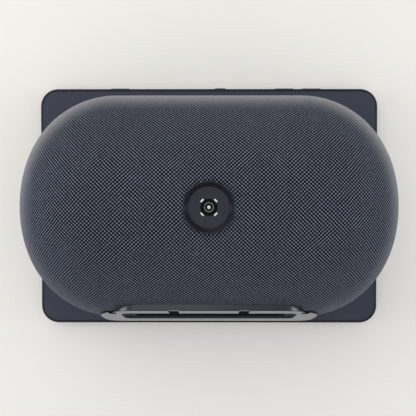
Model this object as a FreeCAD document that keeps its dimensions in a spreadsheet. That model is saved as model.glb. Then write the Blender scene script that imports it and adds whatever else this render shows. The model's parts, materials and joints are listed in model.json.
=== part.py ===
"""Smart display: a touch screen panel leaning back on a fabric covered, pill shaped speaker body.

Row frame: +X to the right as seen from the front, +Y to the back, +Z up, millimetres. The origin is
on the table, under the middle of the whole object.

Most pieces are drawn in the head frame, whose X runs left as seen from the front, Y up the screen
and Z out of its back, from the bottom middle of the glass. The pill is a solid of revolution about
an axis parallel to X, so its pieces are drawn in the same directions from a point on that axis.
"""
import FreeCAD, Part
import math
import os
import re

import Sketcher

Vector = FreeCAD.Vector
Placement = FreeCAD.Placement
Rotation = FreeCAD.Rotation

SIZES = [
    ("panel_width", 196.4, "display head, across"),
    ("panel_height", 136.8, "display head, up the screen"),
    ("panel_depth", 7.0, "display head, front glass to back face"),
    ("panel_corner", 10.2, "radius of the head's corners"),
    ("tilt", 20.7, "degrees that the screen leans back"),
    ("floor_gap", 3.7, "height of the head's lower front edge"),
    ("body_radius", 58.3, "fabric body, radius of the pill"),
    ("body_half_length", 96.9, "fabric body, middle to end"),
    ("body_corner", 47.7, "radius that rounds the pill's shoulder"),
    ("cap_angle", 22.0, "degrees, where the shoulder meets the end cap"),
    ("axis_height", 68.7, "pill axis above the glass's lower edge, along the screen"),
    ("axis_depth", 26.5, "pill axis behind the front glass"),
    ("fabric_thickness", 1.0, "knitted cover"),
    ("body_wall", 2.4, "moulded shell under the fabric"),
    ("skin_gap", 0.05, "fabric to shell"),
    ("fit_gap", 0.1, "between fixed neighbours"),
    ("slide_gap", 0.2, "beside a moving piece"),
    ("glass_thickness", 1.1, "front glass"),
    ("frame_lip", 0.9, "width of the frame around the glass"),
    ("lip_setback", 0.15, "frame's front face behind the glass"),
    ("glue_thickness", 0.4, "gasket under the glass"),
    ("seam_depth", 2.4, "where frame and rear tray meet"),
    ("window_margin", 1.9, "frame ledge, inside the glass's edge"),
    ("tray_wall", 2.0, "rear tray, side wall"),
    ("tray_floor", 1.6, "rear tray, floor"),
    ("tray_round", 2.0, "rear tray, rounded back edge"),
    ("lcd_width", 184.0, "panel module"),
    ("lcd_height", 112.6, "panel module"),
    ("lcd_thickness", 2.0, "panel module"),
    ("lcd_centre", 66.6, "panel module above the glass's lower edge"),
    ("backlight_thickness", 1.1, "lamp tray behind the panel module"),
    ("camera_side", 7.4, "camera housing"),
    ("camera_height", 128.8, "camera above the glass's lower edge"),
    ("camera_front", 1.9, "camera housing behind the front glass"),
    ("lens_radius", 1.6, "camera lens"),
    ("lens_length", 1.5, "camera lens"),
    ("sensor_x", -11.0, "light sensor beside the camera"),
    ("sensor_side", 2.4, "light sensor"),
    ("shutter_x", 6.6, "shutter blade at rest, beside the lens"),
    ("shutter_travel", 6.0, "blade from open to closed"),
    ("blade_side", 6.2, "shutter blade"),
    ("blade_thickness", 0.3, "shutter blade"),
    ("knob_length", 6.0, "shutter knob"),
    ("knob_rise", 0.5, "shutter knob above the head's edge"),
    ("neck_length", 3.4, "shutter neck, along its slot"),
    ("neck_depth", 1.2, "shutter neck, through the thin way"),
    ("key_depth", 3.85, "middle of keys and knob behind the front glass"),
    ("key_length", 11.0, "button cap"),
    ("key_width", 1.9, "button cap"),
    ("key_rise", 0.45, "button cap above the head's edge"),
    ("key_travel", 0.3, "button travel"),
    ("key_flange", 1.0, "stop flange on a button"),
    ("key_flange_rim", 0.9, "flange beyond the cap at each end"),
    ("stem_length", 1.0, "button stem below its flange"),
    ("volume_down_x", 44.0, "button, towards the viewer's left"),
    ("volume_up_x", 60.0, "button, towards the viewer's left"),
    ("mute_x", -52.0, "button, towards the viewer's right"),
    ("switch_side", 3.4, "tact switch"),
    ("switch_height", 1.3, "tact switch body"),
    ("plunger_height", 0.25, "tact switch plunger"),
    ("board_thickness", 0.8, "small circuit boards"),
    ("mic_x", 26.0, "microphones either side of the camera"),
    ("mic_hole", 0.5, "microphone hole radius"),
    ("mic_board_width", 2.6, "microphone board, through the head"),
    ("screw_x", 62.0, "head screws, from the middle"),
    ("screw_rise", 30.0, "head screws, above and below the pill axis"),
    ("screw_shank", 1.3, "screw shank radius"),
    ("screw_head", 2.6, "screw head radius"),
    ("screw_head_height", 1.0, "screw head"),
    ("cable_window_x", 16.0, "half width of the cable window"),
    ("cable_window_y", 5.0, "half height of the cable window"),
    ("mount_gap", 0.1, "head's back to the pill"),
    ("plate_thickness", 2.4, "chassis plate"),
    ("inner_gap", 0.3, "chassis pieces to the moulded shell"),
    ("pcb_x", 44.0, "main board, half width"),
    ("pcb_y", 22.0, "main board, half height"),
    ("pcb_thickness", 1.4, "main board"),
    ("standoff_height", 5.0, "chassis plate to main board"),
    ("standoff_radius", 3.0, "chassis posts"),
    ("standoff_inset", 4.5, "posts in from the board's corners"),
    ("shield_x", 26.0, "shield can, half width"),
    ("shield_y", 15.0, "shield can, half height"),
    ("shield_height", 2.6, "shield can"),
    ("fin_height", 6.0, "heat sink fins"),
    ("fin_thickness", 1.2, "heat sink fins"),
    ("fin_pitch", 5.2, "heat sink fins"),
    ("baffle_x", 58.0, "inner face of a speaker baffle"),
    ("baffle_thickness", 3.0, "speaker baffle"),
    ("slot_pitch", 5.0, "sound slots in the shell's ends"),
    ("slot_width", 2.0, "sound slots in the shell's ends"),
    ("driver_z", 12.0, "speaker axis behind the pill axis"),
    ("driver_radius", 26.0, "speaker frame"),
    ("basket_radius", 22.6, "speaker basket behind the baffle"),
    ("driver_flange", 1.4, "speaker frame's flange"),
    ("roll_outer", 22.4, "surround, outer radius"),
    ("cone_radius", 18.6, "cone, outer radius"),
    ("cone_depth", 8.0, "cone, rim to neck"),
    ("cone_wall", 0.6, "cone paper"),
    ("coil_radius", 6.4, "voice coil, outer radius"),
    ("coil_wall", 0.6, "voice coil former"),
    ("coil_length", 6.0, "voice coil"),
    ("cap_radius", 7.6, "dust cap"),
    ("cap_rise", 2.2, "dust cap"),
    ("basket_depth", 12.0, "flange to magnet"),
    ("magnet_radius", 15.0, "magnet"),
    ("magnet_depth", 9.0, "magnet"),
    ("cone_travel", 2.0, "cone, either way"),
    ("radiator_y", 36.0, "passive radiator baffle above the pill axis"),
    ("radiator_z", 11.0, "passive radiator behind the pill axis"),
    ("radiator_radius", 24.0, "passive radiator frame"),
    ("radiator_plate", 16.0, "passive radiator diaphragm"),
    ("radiator_roll", 21.0, "passive radiator surround, outer radius"),
    ("radiator_travel", 2.5, "passive radiator, either way"),
    ("inlet_radius", 11.2, "power recess cup, outer radius"),
    ("inlet_mouth", 10.8, "power recess at its mouth"),
    ("inlet_disc", 8.9, "power recess at its floor"),
    ("inlet_depth", 3.6, "power recess"),
    ("inlet_floor", 1.6, "power recess, floor thickness"),
    ("inlet_proud", 0.15, "cup's rim above the fabric"),
    ("jack_bore", 3.6, "socket bore radius"),
    ("jack_depth", 9.0, "socket bore depth"),
    ("jack_side", 13.0, "socket housing"),
    ("jack_wall", 1.4, "socket housing, closed end"),
    ("pin_radius", 0.92, "socket's centre pin"),
    ("pin_free_length", 7.5, "centre pin, standing clear"),
    ("sleeve_outer", 2.2, "socket's inner sleeve"),
    ("sleeve_inner", 1.77, "socket's inner sleeve"),
    ("sleeve_length", 3.0, "socket's inner sleeve"),
    ("clip_radius", 3.77, "inner face of a contact clip, from the socket's middle"),
    ("clip_length", 1.65, "contact clip"),
    ("clip_width", 0.7, "contact clip"),
    ("clip_rise", 0.25, "contact clip above the recess floor"),
    ("foot_half_length", 54.0, "foot pad, middle to end"),
    ("foot_rear", 18.4, "foot pad, behind the pill axis"),
    ("foot_front", 20.0, "foot pad, in front of the pill axis"),
    ("foot_rear_corner", 20.0, "foot pad, rear corners"),
    ("foot_front_corner", 8.0, "foot pad, front corners"),
    ("foot_thickness", 1.2, "foot pad"),
    ("foot_proud", 0.35, "foot pad below the base's rim"),
    ("slot_half_length", 43.0, "recess inside the foot pad"),
    ("slot_half_depth", 9.75, "recess inside the foot pad"),
    ("slot_rear_corner", 5.0, "recess, rear corners"),
    ("slot_front_corner", 2.0, "recess, front corners"),
    ("slot_depth", 3.6, "recess, up from the table"),
    ("notch_inner", 14.25, "gap in the pad's rear strip, nearer side"),
    ("notch_width", 4.75, "gap in the pad's rear strip"),
    ("bump_x", 46.2, "round notch near the pad's end"),
    ("bump_y", 9.3, "round notch's inner end, behind the pill axis"),
    ("bump_radius", 1.8, "round notch"),
    ("boss_half_length", 49.0, "foot boss through the fabric"),
    ("boss_half_depth", 18.0, "foot boss through the fabric"),
    ("boss_rear_corner", 18.0, "foot boss, rear corners"),
    ("boss_front_corner", 9.0, "foot boss, front corners"),
    ("boss_rim", 0.9, "boss's wall around the foot pad"),
    ("boss_gap", 0.25, "foot boss to fabric and shell"),
    ("floor_clearance", 1.35, "lowest point of the fabric"),
    ("base_level", 7.9, "underside of the base's inner flange"),
    ("base_flange", 2.4, "base's inner flange thickness"),
    ("base_flange_rim", 2.2, "inner flange beyond the boss"),
    ("base_screw_x", 30.0, "screws in the foot's recess"),
]

doc = FreeCAD.newDocument("SmartDisplay")


# ---------------------------------------------------------------- sizes and expressions

def write_sizes():
    """Writes each driving size into its own spreadsheet cell, with its alias and meaning."""
    cells = doc.addObject("Spreadsheet::Sheet", "Sizes")
    for row, (alias, number, meaning) in enumerate(SIZES, 1):
        cells.set(f"A{row}", alias)
        cells.set(f"B{row}", str(number))
        cells.set(f"C{row}", meaning)
        cells.setAlias(f"B{row}", alias)
    doc.recompute()
    return cells


sheet = write_sizes()
ALIASES = re.compile(r"\b(" + "|".join(alias for alias, _, _ in SIZES) + r")\b")


def bound(text):
    """Turns 'panel_width / 2' into an expression that reads the spreadsheet."""
    return ALIASES.sub(r"Sizes.\1", text)


def size(text):
    """Works an expression out as a plain number."""
    value = sheet.evalExpression(bound(text))
    return float(getattr(value, "Value", value))


# Places along the head's depth, from the front glass backwards.
LCD_BACK = "(glass_thickness + lcd_thickness)"
LEDGE_FRONT = "(glass_thickness + glue_thickness)"
TRAY_INSIDE = "(panel_depth - tray_floor)"
# Places up the screen.
TOP_INSIDE = "(panel_height - tray_wall)"
KEY_SEAT = f"({TOP_INSIDE} - slide_gap)"
STEM_FOOT = f"({KEY_SEAT} - key_flange - stem_length)"
SWITCH_TOP = f"({STEM_FOOT} - key_travel - fit_gap)"
SWITCH_FOOT = f"({SWITCH_TOP} - plunger_height - switch_height)"
# Places behind the pill axis.
BODY_FRONT = "(panel_depth + mount_gap - axis_depth)"
PLATE_BACK = f"({BODY_FRONT} + plate_thickness)"
BOARD_FRONT = f"({PLATE_BACK} + standoff_height)"
BOARD_BACK = f"({BOARD_FRONT} + pcb_thickness)"
SHIELD_BACK = f"({BOARD_BACK} + shield_height)"
INLET_MOUTH = "(body_radius + inlet_proud)"
INLET_SEAT = f"({INLET_MOUTH} - inlet_depth)"
JACK_FRONT = f"({INLET_SEAT} - inlet_floor)"
JACK_BOTTOM = f"({INLET_SEAT} - jack_depth)"
JACK_BACK = f"({JACK_BOTTOM} - jack_wall)"
# Depth, below its surface, of the room inside the pill.
SHELL_OUTSIDE = "(fabric_thickness + skin_gap)"
SHELL_INSIDE = f"({SHELL_OUTSIDE} + body_wall)"
ROOM = f"({SHELL_INSIDE} + inner_gap)"
# Height of the pill axis above the table.
AXIS_LEVEL = "(floor_gap + axis_height * cos(tilt) - axis_depth * sin(tilt))"
AXIS_BACK = "(axis_height * sin(tilt) + axis_depth * cos(tilt))"


# ---------------------------------------------------------------- frames

def head_frame():
    """Frame of the display head, placed so that the whole object is centred on the origin."""
    angle = math.radians(size("tilt"))
    up = Vector(0, math.sin(angle), math.cos(angle))
    back = Vector(0, math.cos(angle), -math.sin(angle))
    front_edge = size("lip_setback * cos(tilt)")
    rear_edge = size(f"{AXIS_BACK} + body_radius")
    turn = Rotation(Vector(-1, 0, 0), up, back, "ZXY")
    return Placement(Vector(0, -(front_edge + rear_edge) / 2, size("floor_gap")), turn)


def axis_frame(x=0.0, y=0.0, z=0.0):
    """Frame on the pill axis, in the head's directions, moved by x, y, z within itself."""
    centre = Vector(x, size("axis_height") + y, size("axis_depth") + z)
    return head_frame() * Placement(centre, Rotation())


def stand_frame():
    """Level frame on the table, right under the pill axis, with +Y to the back."""
    return Placement(Vector(0, head_frame().Base.y + size(AXIS_BACK), 0), Rotation())


def speaker_frame(side):
    """Frame whose Z points out along a speaker's axis, from the outer face of its baffle."""
    outward = Rotation(Vector(0, 0, -side), Vector(0, 1, 0), Vector(side, 0, 0), "ZXY")
    face = side * size("baffle_x + baffle_thickness")
    return axis_frame(face, 0, size("driver_z")) * Placement(Vector(), outward)


def radiator_frame():
    """Frame whose Z points up out of the passive radiator, from its baffle's upper face."""
    face = size("radiator_y + plate_thickness")
    upward = Rotation(Vector(1, 0, 0), Vector(0, 0, -1), Vector(0, 1, 0), "ZXY")
    return axis_frame(0, face, size("radiator_z")) * Placement(Vector(), upward)


# ---------------------------------------------------------------- bodies and sketches

def new_body(node, frame):
    """Starts a sub-part; its label names its file."""
    body = doc.addObject("PartDesign::Body", node)
    body.Label = node
    body.Placement = frame
    return body


def new_sketch(body, plane="XY_Plane", shift="0"):
    """Adds a sketch on one of the body's origin planes, moved along the plane's normal."""
    sketch = body.newObject("Sketcher::SketchObject", body.Name + "_sketch")
    support = next(item for item in body.Origin.OriginFeatures if item.Role == plane)
    sketch.AttachmentSupport = [(support, "")]
    sketch.MapMode = "FlatFace"
    sketch.setExpression("AttachmentOffset.Base.z", bound(shift))
    return sketch


def level_sketch(body, drop):
    """Adds a sketch parallel to the table, drop below the pill axis; its normal points down."""
    sketch = new_sketch(body, "XZ_Plane")
    sketch.AttachmentOffset = Placement(Vector(), Rotation(Vector(-1, 0, 0), size("tilt")))
    sketch.setExpression("AttachmentOffset.Rotation.Angle", bound("tilt"))
    sketch.setExpression("AttachmentOffset.Base.y", bound(f"{drop} * sin(tilt)"))
    sketch.setExpression("AttachmentOffset.Base.z", bound(f"{drop} * cos(tilt)"))
    return sketch


def constrain(sketch, kind, text, *where):
    """Adds a dimension that is bound to the spreadsheet."""
    index = sketch.addConstraint(Sketcher.Constraint(kind, *where, size(text)))
    sketch.setExpression(f"Constraints[{index}]", bound(text))


def pin_point(sketch, edge, end, x, y):
    """Places an edge's end (1, 2) or centre (3) at x, y from the sketch's origin."""
    constrain(sketch, "DistanceX", x, -1, 1, edge, end)
    constrain(sketch, "DistanceY", y, -1, 1, edge, end)


def circle(sketch, x, y, radius):
    """Draws a circle."""
    centre = Vector(size(x), size(y), 0)
    edge = sketch.addGeometry(Part.Circle(centre, Vector(0, 0, 1), size(radius)))
    pin_point(sketch, edge, 3, x, y)
    constrain(sketch, "Radius", radius, edge)


def arc_between(start, end, radius, turn):
    """Returns the short arc from start to end, counterclockwise if turn is 1, clockwise if -1."""
    chord = end - start
    reach = math.sqrt(max(radius ** 2 - (chord.Length / 2) ** 2, 0.0))
    centre = (start + end) / 2 + Vector(-chord.y, chord.x, 0).normalize() * reach * turn
    first, last = (start, end) if turn > 0 else (end, start)
    angles = [math.atan2(point.y - centre.y, point.x - centre.x) for point in (first, last)]
    return Part.ArcOfCircle(Part.Circle(centre, Vector(0, 0, 1), radius), *angles)


def outline(sketch, start, steps):
    """Draws a closed outline from start. A step is (x, y), or (x, y, radius, turn) for an arc."""
    corners = [start] + [step[:2] for step in steps]
    points = [Vector(size(x), size(y), 0) for x, y in corners]
    ends = []
    for index, step in enumerate(steps):
        a, b = points[index], points[index + 1]
        if len(step) == 2:
            edge = sketch.addGeometry(Part.LineSegment(a, b))
            ends.append((edge, 1, 2))
        else:
            edge = sketch.addGeometry(arc_between(a, b, size(step[2]), step[3]))
            ends.append((edge, 1, 2) if step[3] > 0 else (edge, 2, 1))
    for here, after in zip(ends, ends[1:] + ends[:1]):
        joint = Sketcher.Constraint("Coincident", here[0], here[2], after[0], after[1])
        sketch.addConstraint(joint)
    for (edge, head, _), (x, y) in zip(ends, corners):
        pin_point(sketch, edge, head, x, y)
    for (edge, _, _), step in zip(ends, steps):
        if len(step) == 4:
            constrain(sketch, "Radius", step[2], edge)


def rectangle(sketch, x, y, width, height):
    """Draws a rectangle centred on x, y."""
    left, right = f"{x} - ({width}) / 2", f"{x} + ({width}) / 2"
    low, high = f"{y} - ({height}) / 2", f"{y} + ({height}) / 2"
    outline(sketch, (left, low), [(right, low), (right, high), (left, high), (left, low)])


def round_rectangle(sketch, x, y, width, height, radius):
    """Draws a rectangle centred on x, y with rounded corners."""
    left, right = f"{x} - ({width}) / 2", f"{x} + ({width}) / 2"
    low, high = f"{y} - ({height}) / 2", f"{y} + ({height}) / 2"
    r = f"({radius})"
    outline(sketch, (f"{left} + {r}", low), [
        (f"{right} - {r}", low), (right, f"{low} + {r}", r, 1),
        (right, f"{high} - {r}"), (f"{right} - {r}", high, r, 1),
        (f"{left} + {r}", high), (left, f"{high} - {r}", r, 1),
        (left, f"{low} + {r}"), (f"{left} + {r}", low, r, 1),
    ])


def foot_outline(sketch, half_length, rear, front, rear_corner, front_corner, margin="0"):
    """Draws the foot's shape round the sketch's origin, grown by a margin; the rear is along +Y."""
    end, back, ahead = f"({half_length} + {margin})", f"({rear} + {margin})", f"({front} + {margin})"
    large, small = f"({rear_corner} + {margin})", f"({front_corner} + {margin})"
    outline(sketch, (f"-({end} - {small})", f"-{ahead}"), [
        (f"{end} - {small}", f"-{ahead}"), (end, f"-({ahead} - {small})", small, 1),
        (end, f"{back} - {large}"), (f"{end} - {large}", back, large, 1),
        (f"-({end} - {large})", back), (f"-{end}", f"{back} - {large}", large, 1),
        (f"-{end}", f"-({ahead} - {small})"), (f"-({end} - {small})", f"-{ahead}", small, 1),
    ])


def boss_outline(sketch, margin="0"):
    """Draws the outline of the foot's boss, grown by a margin."""
    foot_outline(sketch, "boss_half_length", "boss_half_depth", "boss_half_depth", "boss_rear_corner",
                 "boss_front_corner", margin)


def slot_outline(sketch, rear_corner="slot_rear_corner", front_corner="slot_front_corner", margin="0"):
    """Draws the outline of the recess inside the foot's pad, grown by a margin."""
    foot_outline(sketch, "slot_half_length", "slot_half_depth", "slot_half_depth", rear_corner,
                 front_corner, margin)


def pill_outline(sketch, outer, inner=None):
    """Draws the pill's half section, outer below its surface; with inner, only the wall between."""
    def run(depth, side, turn):
        """Corners of one side's curve from the straight flank to the axis."""
        rise, bend = "(body_radius - body_corner)", f"(body_corner - {depth})"
        cap = f"(body_corner + {rise} / sin(cap_angle))"
        middle = f"(body_half_length - {cap})"
        flank = f"({middle} + {rise} / tan(cap_angle))"
        joint = (f"{side} * ({flank} + {bend} * cos(cap_angle))", f"{rise} + {bend} * sin(cap_angle)")
        return [
            (f"{side} * {flank}", f"body_radius - {depth}"),
            (*joint, bend, turn),
            (f"{side} * (body_half_length - {depth})", "0", f"({cap} - {depth})", turn),
        ]

    right, left = run(outer, 1, -1), run(outer, -1, 1)
    steps = right[1:]
    if inner is None:
        steps.append(left[2][:2])
    else:
        inside_right, inside_left = run(inner, 1, 1), run(inner, -1, 1)
        steps += [inside_right[2][:2], (*inside_right[1][:2], *inside_right[2][2:])]
        steps += [(*inside_right[0], *inside_right[1][2:]), inside_left[0]]
        steps += inside_left[1:] + [left[2][:2]]
    steps += [(*left[1][:2], left[2][2], -1), (*left[0], left[1][2], -1), right[0]]
    outline(sketch, right[0], steps)


# ---------------------------------------------------------------- features

def finish_feature(body, feature, sketch):
    """Hides the profile, recomputes and stops if the feature didn't change the solid."""
    sketch.Visibility = False
    doc.recompute()
    base = feature.BaseFeature
    if base is not None and abs(base.Shape.Volume - feature.Shape.Volume) < 1e-6:
        raise ValueError(f"{feature.Name} in {body.Label} changes nothing")
    return feature


def pad(body, sketch, length, both_ways=False):
    """Adds material along the sketch's normal."""
    feature = body.newObject("PartDesign::Pad", body.Name + "_pad")
    feature.Profile = sketch
    feature.Midplane = both_ways
    feature.setExpression("Length", bound(length))
    return finish_feature(body, feature, sketch)


def pocket(body, sketch, length=None, along_normal=False, both_ways=False):
    """Cuts against the sketch's normal, right through unless a length is given."""
    feature = body.newObject("PartDesign::Pocket", body.Name + "_pocket")
    feature.Profile = sketch
    feature.Reversed = along_normal
    feature.Midplane = both_ways
    if length is None:
        feature.Type = "ThroughAll"
    else:
        feature.setExpression("Length", bound(length))
    return finish_feature(body, feature, sketch)


def revolve(body, sketch, axis="H_Axis"):
    """Turns a sketch about its own horizontal or vertical axis."""
    feature = body.newObject("PartDesign::Revolution", body.Name + "_revolution")
    feature.Profile = sketch
    feature.ReferenceAxis = (sketch, [axis])
    feature.Angle = 360
    return finish_feature(body, feature, sketch)


def row_of(body, feature, axis, length, count):
    """Repeats a feature evenly along one of the body's own axes."""
    pattern = body.newObject("PartDesign::LinearPattern", body.Name + "_row")
    pattern.Originals = [feature]
    line = next(item for item in body.Origin.OriginFeatures if item.Role == axis)
    pattern.Direction = (line, [""])
    pattern.setExpression("Length", bound(length))
    pattern.Occurrences = count
    body.Tip = pattern
    doc.recompute()
    return pattern


def round_edges(body, radius, chosen):
    """Rounds the edges of the body's tip that chosen(edge) picks."""
    base = body.Tip
    names = [f"Edge{number}" for number, edge in enumerate(base.Shape.Edges, 1) if chosen(edge)]
    feature = body.newObject("PartDesign::Fillet", body.Name + "_fillet")
    feature.Base = (base, names)
    feature.setExpression("Radius", bound(radius))
    doc.recompute()
    return feature


def at_height(level):
    """Picks edges that lie wholly at one height of the body's frame."""
    wanted = size(level)
    return lambda edge: max(abs(edge.BoundBox.ZMin - wanted), abs(edge.BoundBox.ZMax - wanted)) < 1e-4


def block(node, frame, x, y, width, height, front, back):
    """Makes a plain rectangular sub-part between two depths."""
    body = new_body(node, frame)
    sketch = new_sketch(body, shift=front)
    rectangle(sketch, x, y, width, height)
    pad(body, sketch, f"{back} - {front}")
    return body


def turned(node, frame, start, steps):
    """Makes a sub-part that is round about its frame's Z; points are (radius, height)."""
    body = new_body(node, frame)
    sketch = new_sketch(body, "XZ_Plane")
    outline(sketch, start, steps)
    revolve(body, sketch, "V_Axis")
    return body


def turned_ring(node, frame, inner, outer, low, high):
    """Makes a plain ring, or a disc if inner is 0."""
    steps = [(outer, low), (outer, high), (inner, high), (inner, low)]
    return turned(node, frame, (inner, low), steps)


# ---------------------------------------------------------------- display head

def head_outline(sketch, inset):
    """The head's rounded outline, inset by a given margin."""
    round_rectangle(sketch, "0", "panel_height / 2", f"panel_width - 2 * {inset}",
                    f"panel_height - 2 * {inset}", f"panel_corner - {inset}")


def cover_glass():
    """Front glass, the size of the head less the frame's lip."""
    body = new_body("cover_glass", head_frame())
    sketch = new_sketch(body)
    head_outline(sketch, "(frame_lip + fit_gap)")
    pad(body, sketch, "glass_thickness")


def glass_gasket():
    """Adhesive ring that bonds the glass to the frame's ledge."""
    body = new_body("glass_gasket", head_frame())
    sketch = new_sketch(body, shift="glass_thickness")
    head_outline(sketch, "(frame_lip + 3 * fit_gap)")
    head_outline(sketch, "(frame_lip + window_margin - 2 * fit_gap)")
    pad(body, sketch, "glue_thickness")


def display_frame():
    """Front frame: a thin lip round the glass and a ledge that carries it."""
    body = new_body("display_frame", head_frame())
    sketch = new_sketch(body, shift="lip_setback")
    head_outline(sketch, "0")
    pad(body, sketch, "seam_depth - lip_setback")
    seat = new_sketch(body, shift=LEDGE_FRONT)
    head_outline(seat, "frame_lip")
    pocket(body, seat)
    window = new_sketch(body, shift="seam_depth")
    head_outline(window, "(frame_lip + window_margin)")
    pocket(body, window)


def key_slot(body, x, length, width):
    """Cuts a slot through the tray's top wall for a button or the shutter's neck."""
    slot = new_sketch(body, "XZ_Plane", f"-({TOP_INSIDE} - fit_gap)")
    rectangle(slot, x, "key_depth", length, width)
    pocket(body, slot)


def display_tray():
    """Rear cover of the head: a shallow tray with slots for the keys and holes for its screws."""
    body = new_body("display_tray", head_frame())
    sketch = new_sketch(body, shift="seam_depth")
    head_outline(sketch, "0")
    pad(body, sketch, "panel_depth - seam_depth")
    round_edges(body, "tray_round", at_height("panel_depth"))
    hollow = new_sketch(body, shift=TRAY_INSIDE)
    head_outline(hollow, "tray_wall")
    pocket(body, hollow)
    for x in ("volume_down_x", "volume_up_x", "mute_x"):
        key_slot(body, x, "key_length + 2 * slide_gap", "key_width + 2 * slide_gap")
    key_slot(body, "(shutter_x - shutter_travel / 2)", "neck_length + shutter_travel + 2 * slide_gap",
             "neck_depth + 2 * slide_gap")
    holes = new_sketch(body, "XZ_Plane", f"-({TOP_INSIDE} - fit_gap)")
    for side in ("mic_x", "-mic_x"):
        circle(holes, side, "key_depth", "mic_hole")
    pocket(body, holes)
    fixings = new_sketch(body, shift="panel_depth")
    for x in ("screw_x", "-screw_x"):
        for rise in ("screw_rise", "-screw_rise"):
            circle(fixings, x, f"axis_height + {rise}", "screw_shank + fit_gap")
    rectangle(fixings, "0", "axis_height", "2 * cable_window_x", "2 * cable_window_y")
    pocket(body, fixings)


def screen_module():
    """Liquid crystal panel and the lamp tray behind it."""
    block("lcd_panel", head_frame(), "0", "lcd_centre", "lcd_width", "lcd_height",
          "glass_thickness", LCD_BACK)
    block("backlight_tray", head_frame(), "0", "lcd_centre", "lcd_width - 2", "lcd_height - 2",
          LCD_BACK, f"({LCD_BACK} + backlight_thickness)")


def camera():
    """Camera housing with its lens, and the light sensor beside it."""
    body = block("camera_module", head_frame(), "0", "camera_height", "camera_side", "camera_side",
                 "camera_front", TRAY_INSIDE)
    hole = new_sketch(body, shift="(camera_front + lens_length + 2 * fit_gap)")
    circle(hole, "0", "camera_height", "lens_radius + fit_gap")
    pocket(body, hole)
    lens = new_body("camera_lens", head_frame())
    sketch = new_sketch(lens, shift="(camera_front + 2 * fit_gap)")
    circle(sketch, "0", "camera_height", "lens_radius")
    pad(lens, sketch, "lens_length")
    block("light_sensor", head_frame(), "sensor_x", "camera_height", "sensor_side", "sensor_side",
          "camera_front", "(camera_front + board_thickness)")


def shutter():
    """Privacy shutter: a thin blade in front of the lens and the knob that slides it."""
    blade_front = "(glass_thickness + slide_gap)"
    blade_back = f"({blade_front} + blade_thickness)"
    block("shutter_blade", head_frame(), "shutter_x", "camera_height", "blade_side",
          "blade_side + 2.4", blade_front, blade_back)
    knob = new_body("shutter_knob", head_frame())
    riser_low = "(camera_height + camera_side / 2 + slide_gap)"
    arm = new_sketch(knob, shift=blade_back)
    rectangle(arm, "shutter_x", f"({riser_low} + {TOP_INSIDE} - window_margin / 2) / 2", "neck_length",
              f"{TOP_INSIDE} - window_margin / 2 - {riser_low}")
    pad(knob, arm, f"key_depth + neck_depth / 2 - {blade_back}")
    neck = new_sketch(knob, "XZ_Plane", f"-{riser_low}")
    rectangle(neck, "shutter_x", "key_depth", "neck_length", "neck_depth")
    pad_up(knob, neck, f"panel_height + fit_gap - {riser_low}")
    grip = new_sketch(knob, "XZ_Plane", "-(panel_height + fit_gap)")
    rectangle(grip, "shutter_x", "key_depth", "knob_length", "key_width")
    pad_up(knob, grip, "knob_rise")


def pad_up(body, sketch, length):
    """Adds material against the sketch's normal."""
    feature = body.newObject("PartDesign::Pad", body.Name + "_pad")
    feature.Profile = sketch
    feature.Reversed = True
    feature.setExpression("Length", bound(length))
    return finish_feature(body, feature, sketch)


def push_button(node, x):
    """Button cap with a stop flange inside the wall and a stem that reaches its switch."""
    body = new_body(node, head_frame())
    stem = new_sketch(body, "XZ_Plane", f"-{STEM_FOOT}")
    rectangle(stem, x, "key_depth", "switch_side / 2", "key_width / 2")
    pad_up(body, stem, "stem_length")
    flange = new_sketch(body, "XZ_Plane", f"-({KEY_SEAT} - key_flange)")
    rectangle(flange, x, "key_depth", "key_length + 2 * key_flange_rim", "key_width + key_flange / 2")
    pad_up(body, flange, "key_flange")
    cap = new_sketch(body, "XZ_Plane", f"-{KEY_SEAT}")
    round_rectangle(cap, x, "key_depth", "key_length", "key_width", "key_width * 0.45")
    pad_up(body, cap, f"panel_height + key_rise - {KEY_SEAT}")


def group(node, pieces):
    """Makes one node of several separate solids."""
    feature = doc.addObject("Part::Feature", node)
    feature.Label = node
    feature.Shape = Part.makeCompound(pieces)
    return feature


def switches():
    """Small boards under the buttons and the tact switches on them."""
    frame = head_frame()
    half = size("key_width") / 2 + 0.2
    front, back = size("key_depth") - half, size("key_depth") + half
    foot, body_height = size(SWITCH_FOOT), size("switch_height")
    side, plunger = size("switch_side"), size("plunger_height")
    pieces = []
    for x in (size("volume_down_x"), size("volume_up_x"), size("mute_x")):
        case = Part.makeBox(side, body_height, back - front, Vector(x - side / 2, foot, front))
        stub = Part.makeCylinder(side / 5, plunger, Vector(x, foot + body_height, (front + back) / 2),
                                 Vector(0, 1, 0))
        pieces.append(case.fuse(stub))
    group("tact_switches", pieces).Placement = frame
    boards = []
    thick, margin = size("board_thickness"), size("key_length") / 2
    depth = size(TRAY_INSIDE) - size("fit_gap") - (front - 0.3)
    for low, high in ((size("volume_down_x"), size("volume_up_x")), (size("mute_x"), size("mute_x"))):
        corner = Vector(low - margin, foot - thick, front - 0.3)
        boards.append(Part.makeBox(high - low + 2 * margin, thick, depth, corner))
    group("button_boards", boards).Placement = frame


def microphones():
    """Two microphones on their boards, right under the holes in the head's top edge."""
    top, thick = size(TOP_INSIDE) - size("fit_gap"), size("board_thickness")
    depth, reach = size("key_depth"), size("switch_side") / 2
    half = size("mic_board_width") / 2
    pieces = []
    for x in (size("mic_x"), -size("mic_x")):
        corner = Vector(x - 2 * reach, top - thick, depth - half)
        board = Part.makeBox(4 * reach, thick, 2 * half, corner)
        corner = Vector(x - reach, top - 3 * thick, depth - reach / 2)
        can = Part.makeBox(2 * reach, 2 * thick, reach, corner)
        pieces.append(board.fuse(can))
    group("microphones", pieces).Placement = head_frame()


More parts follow.
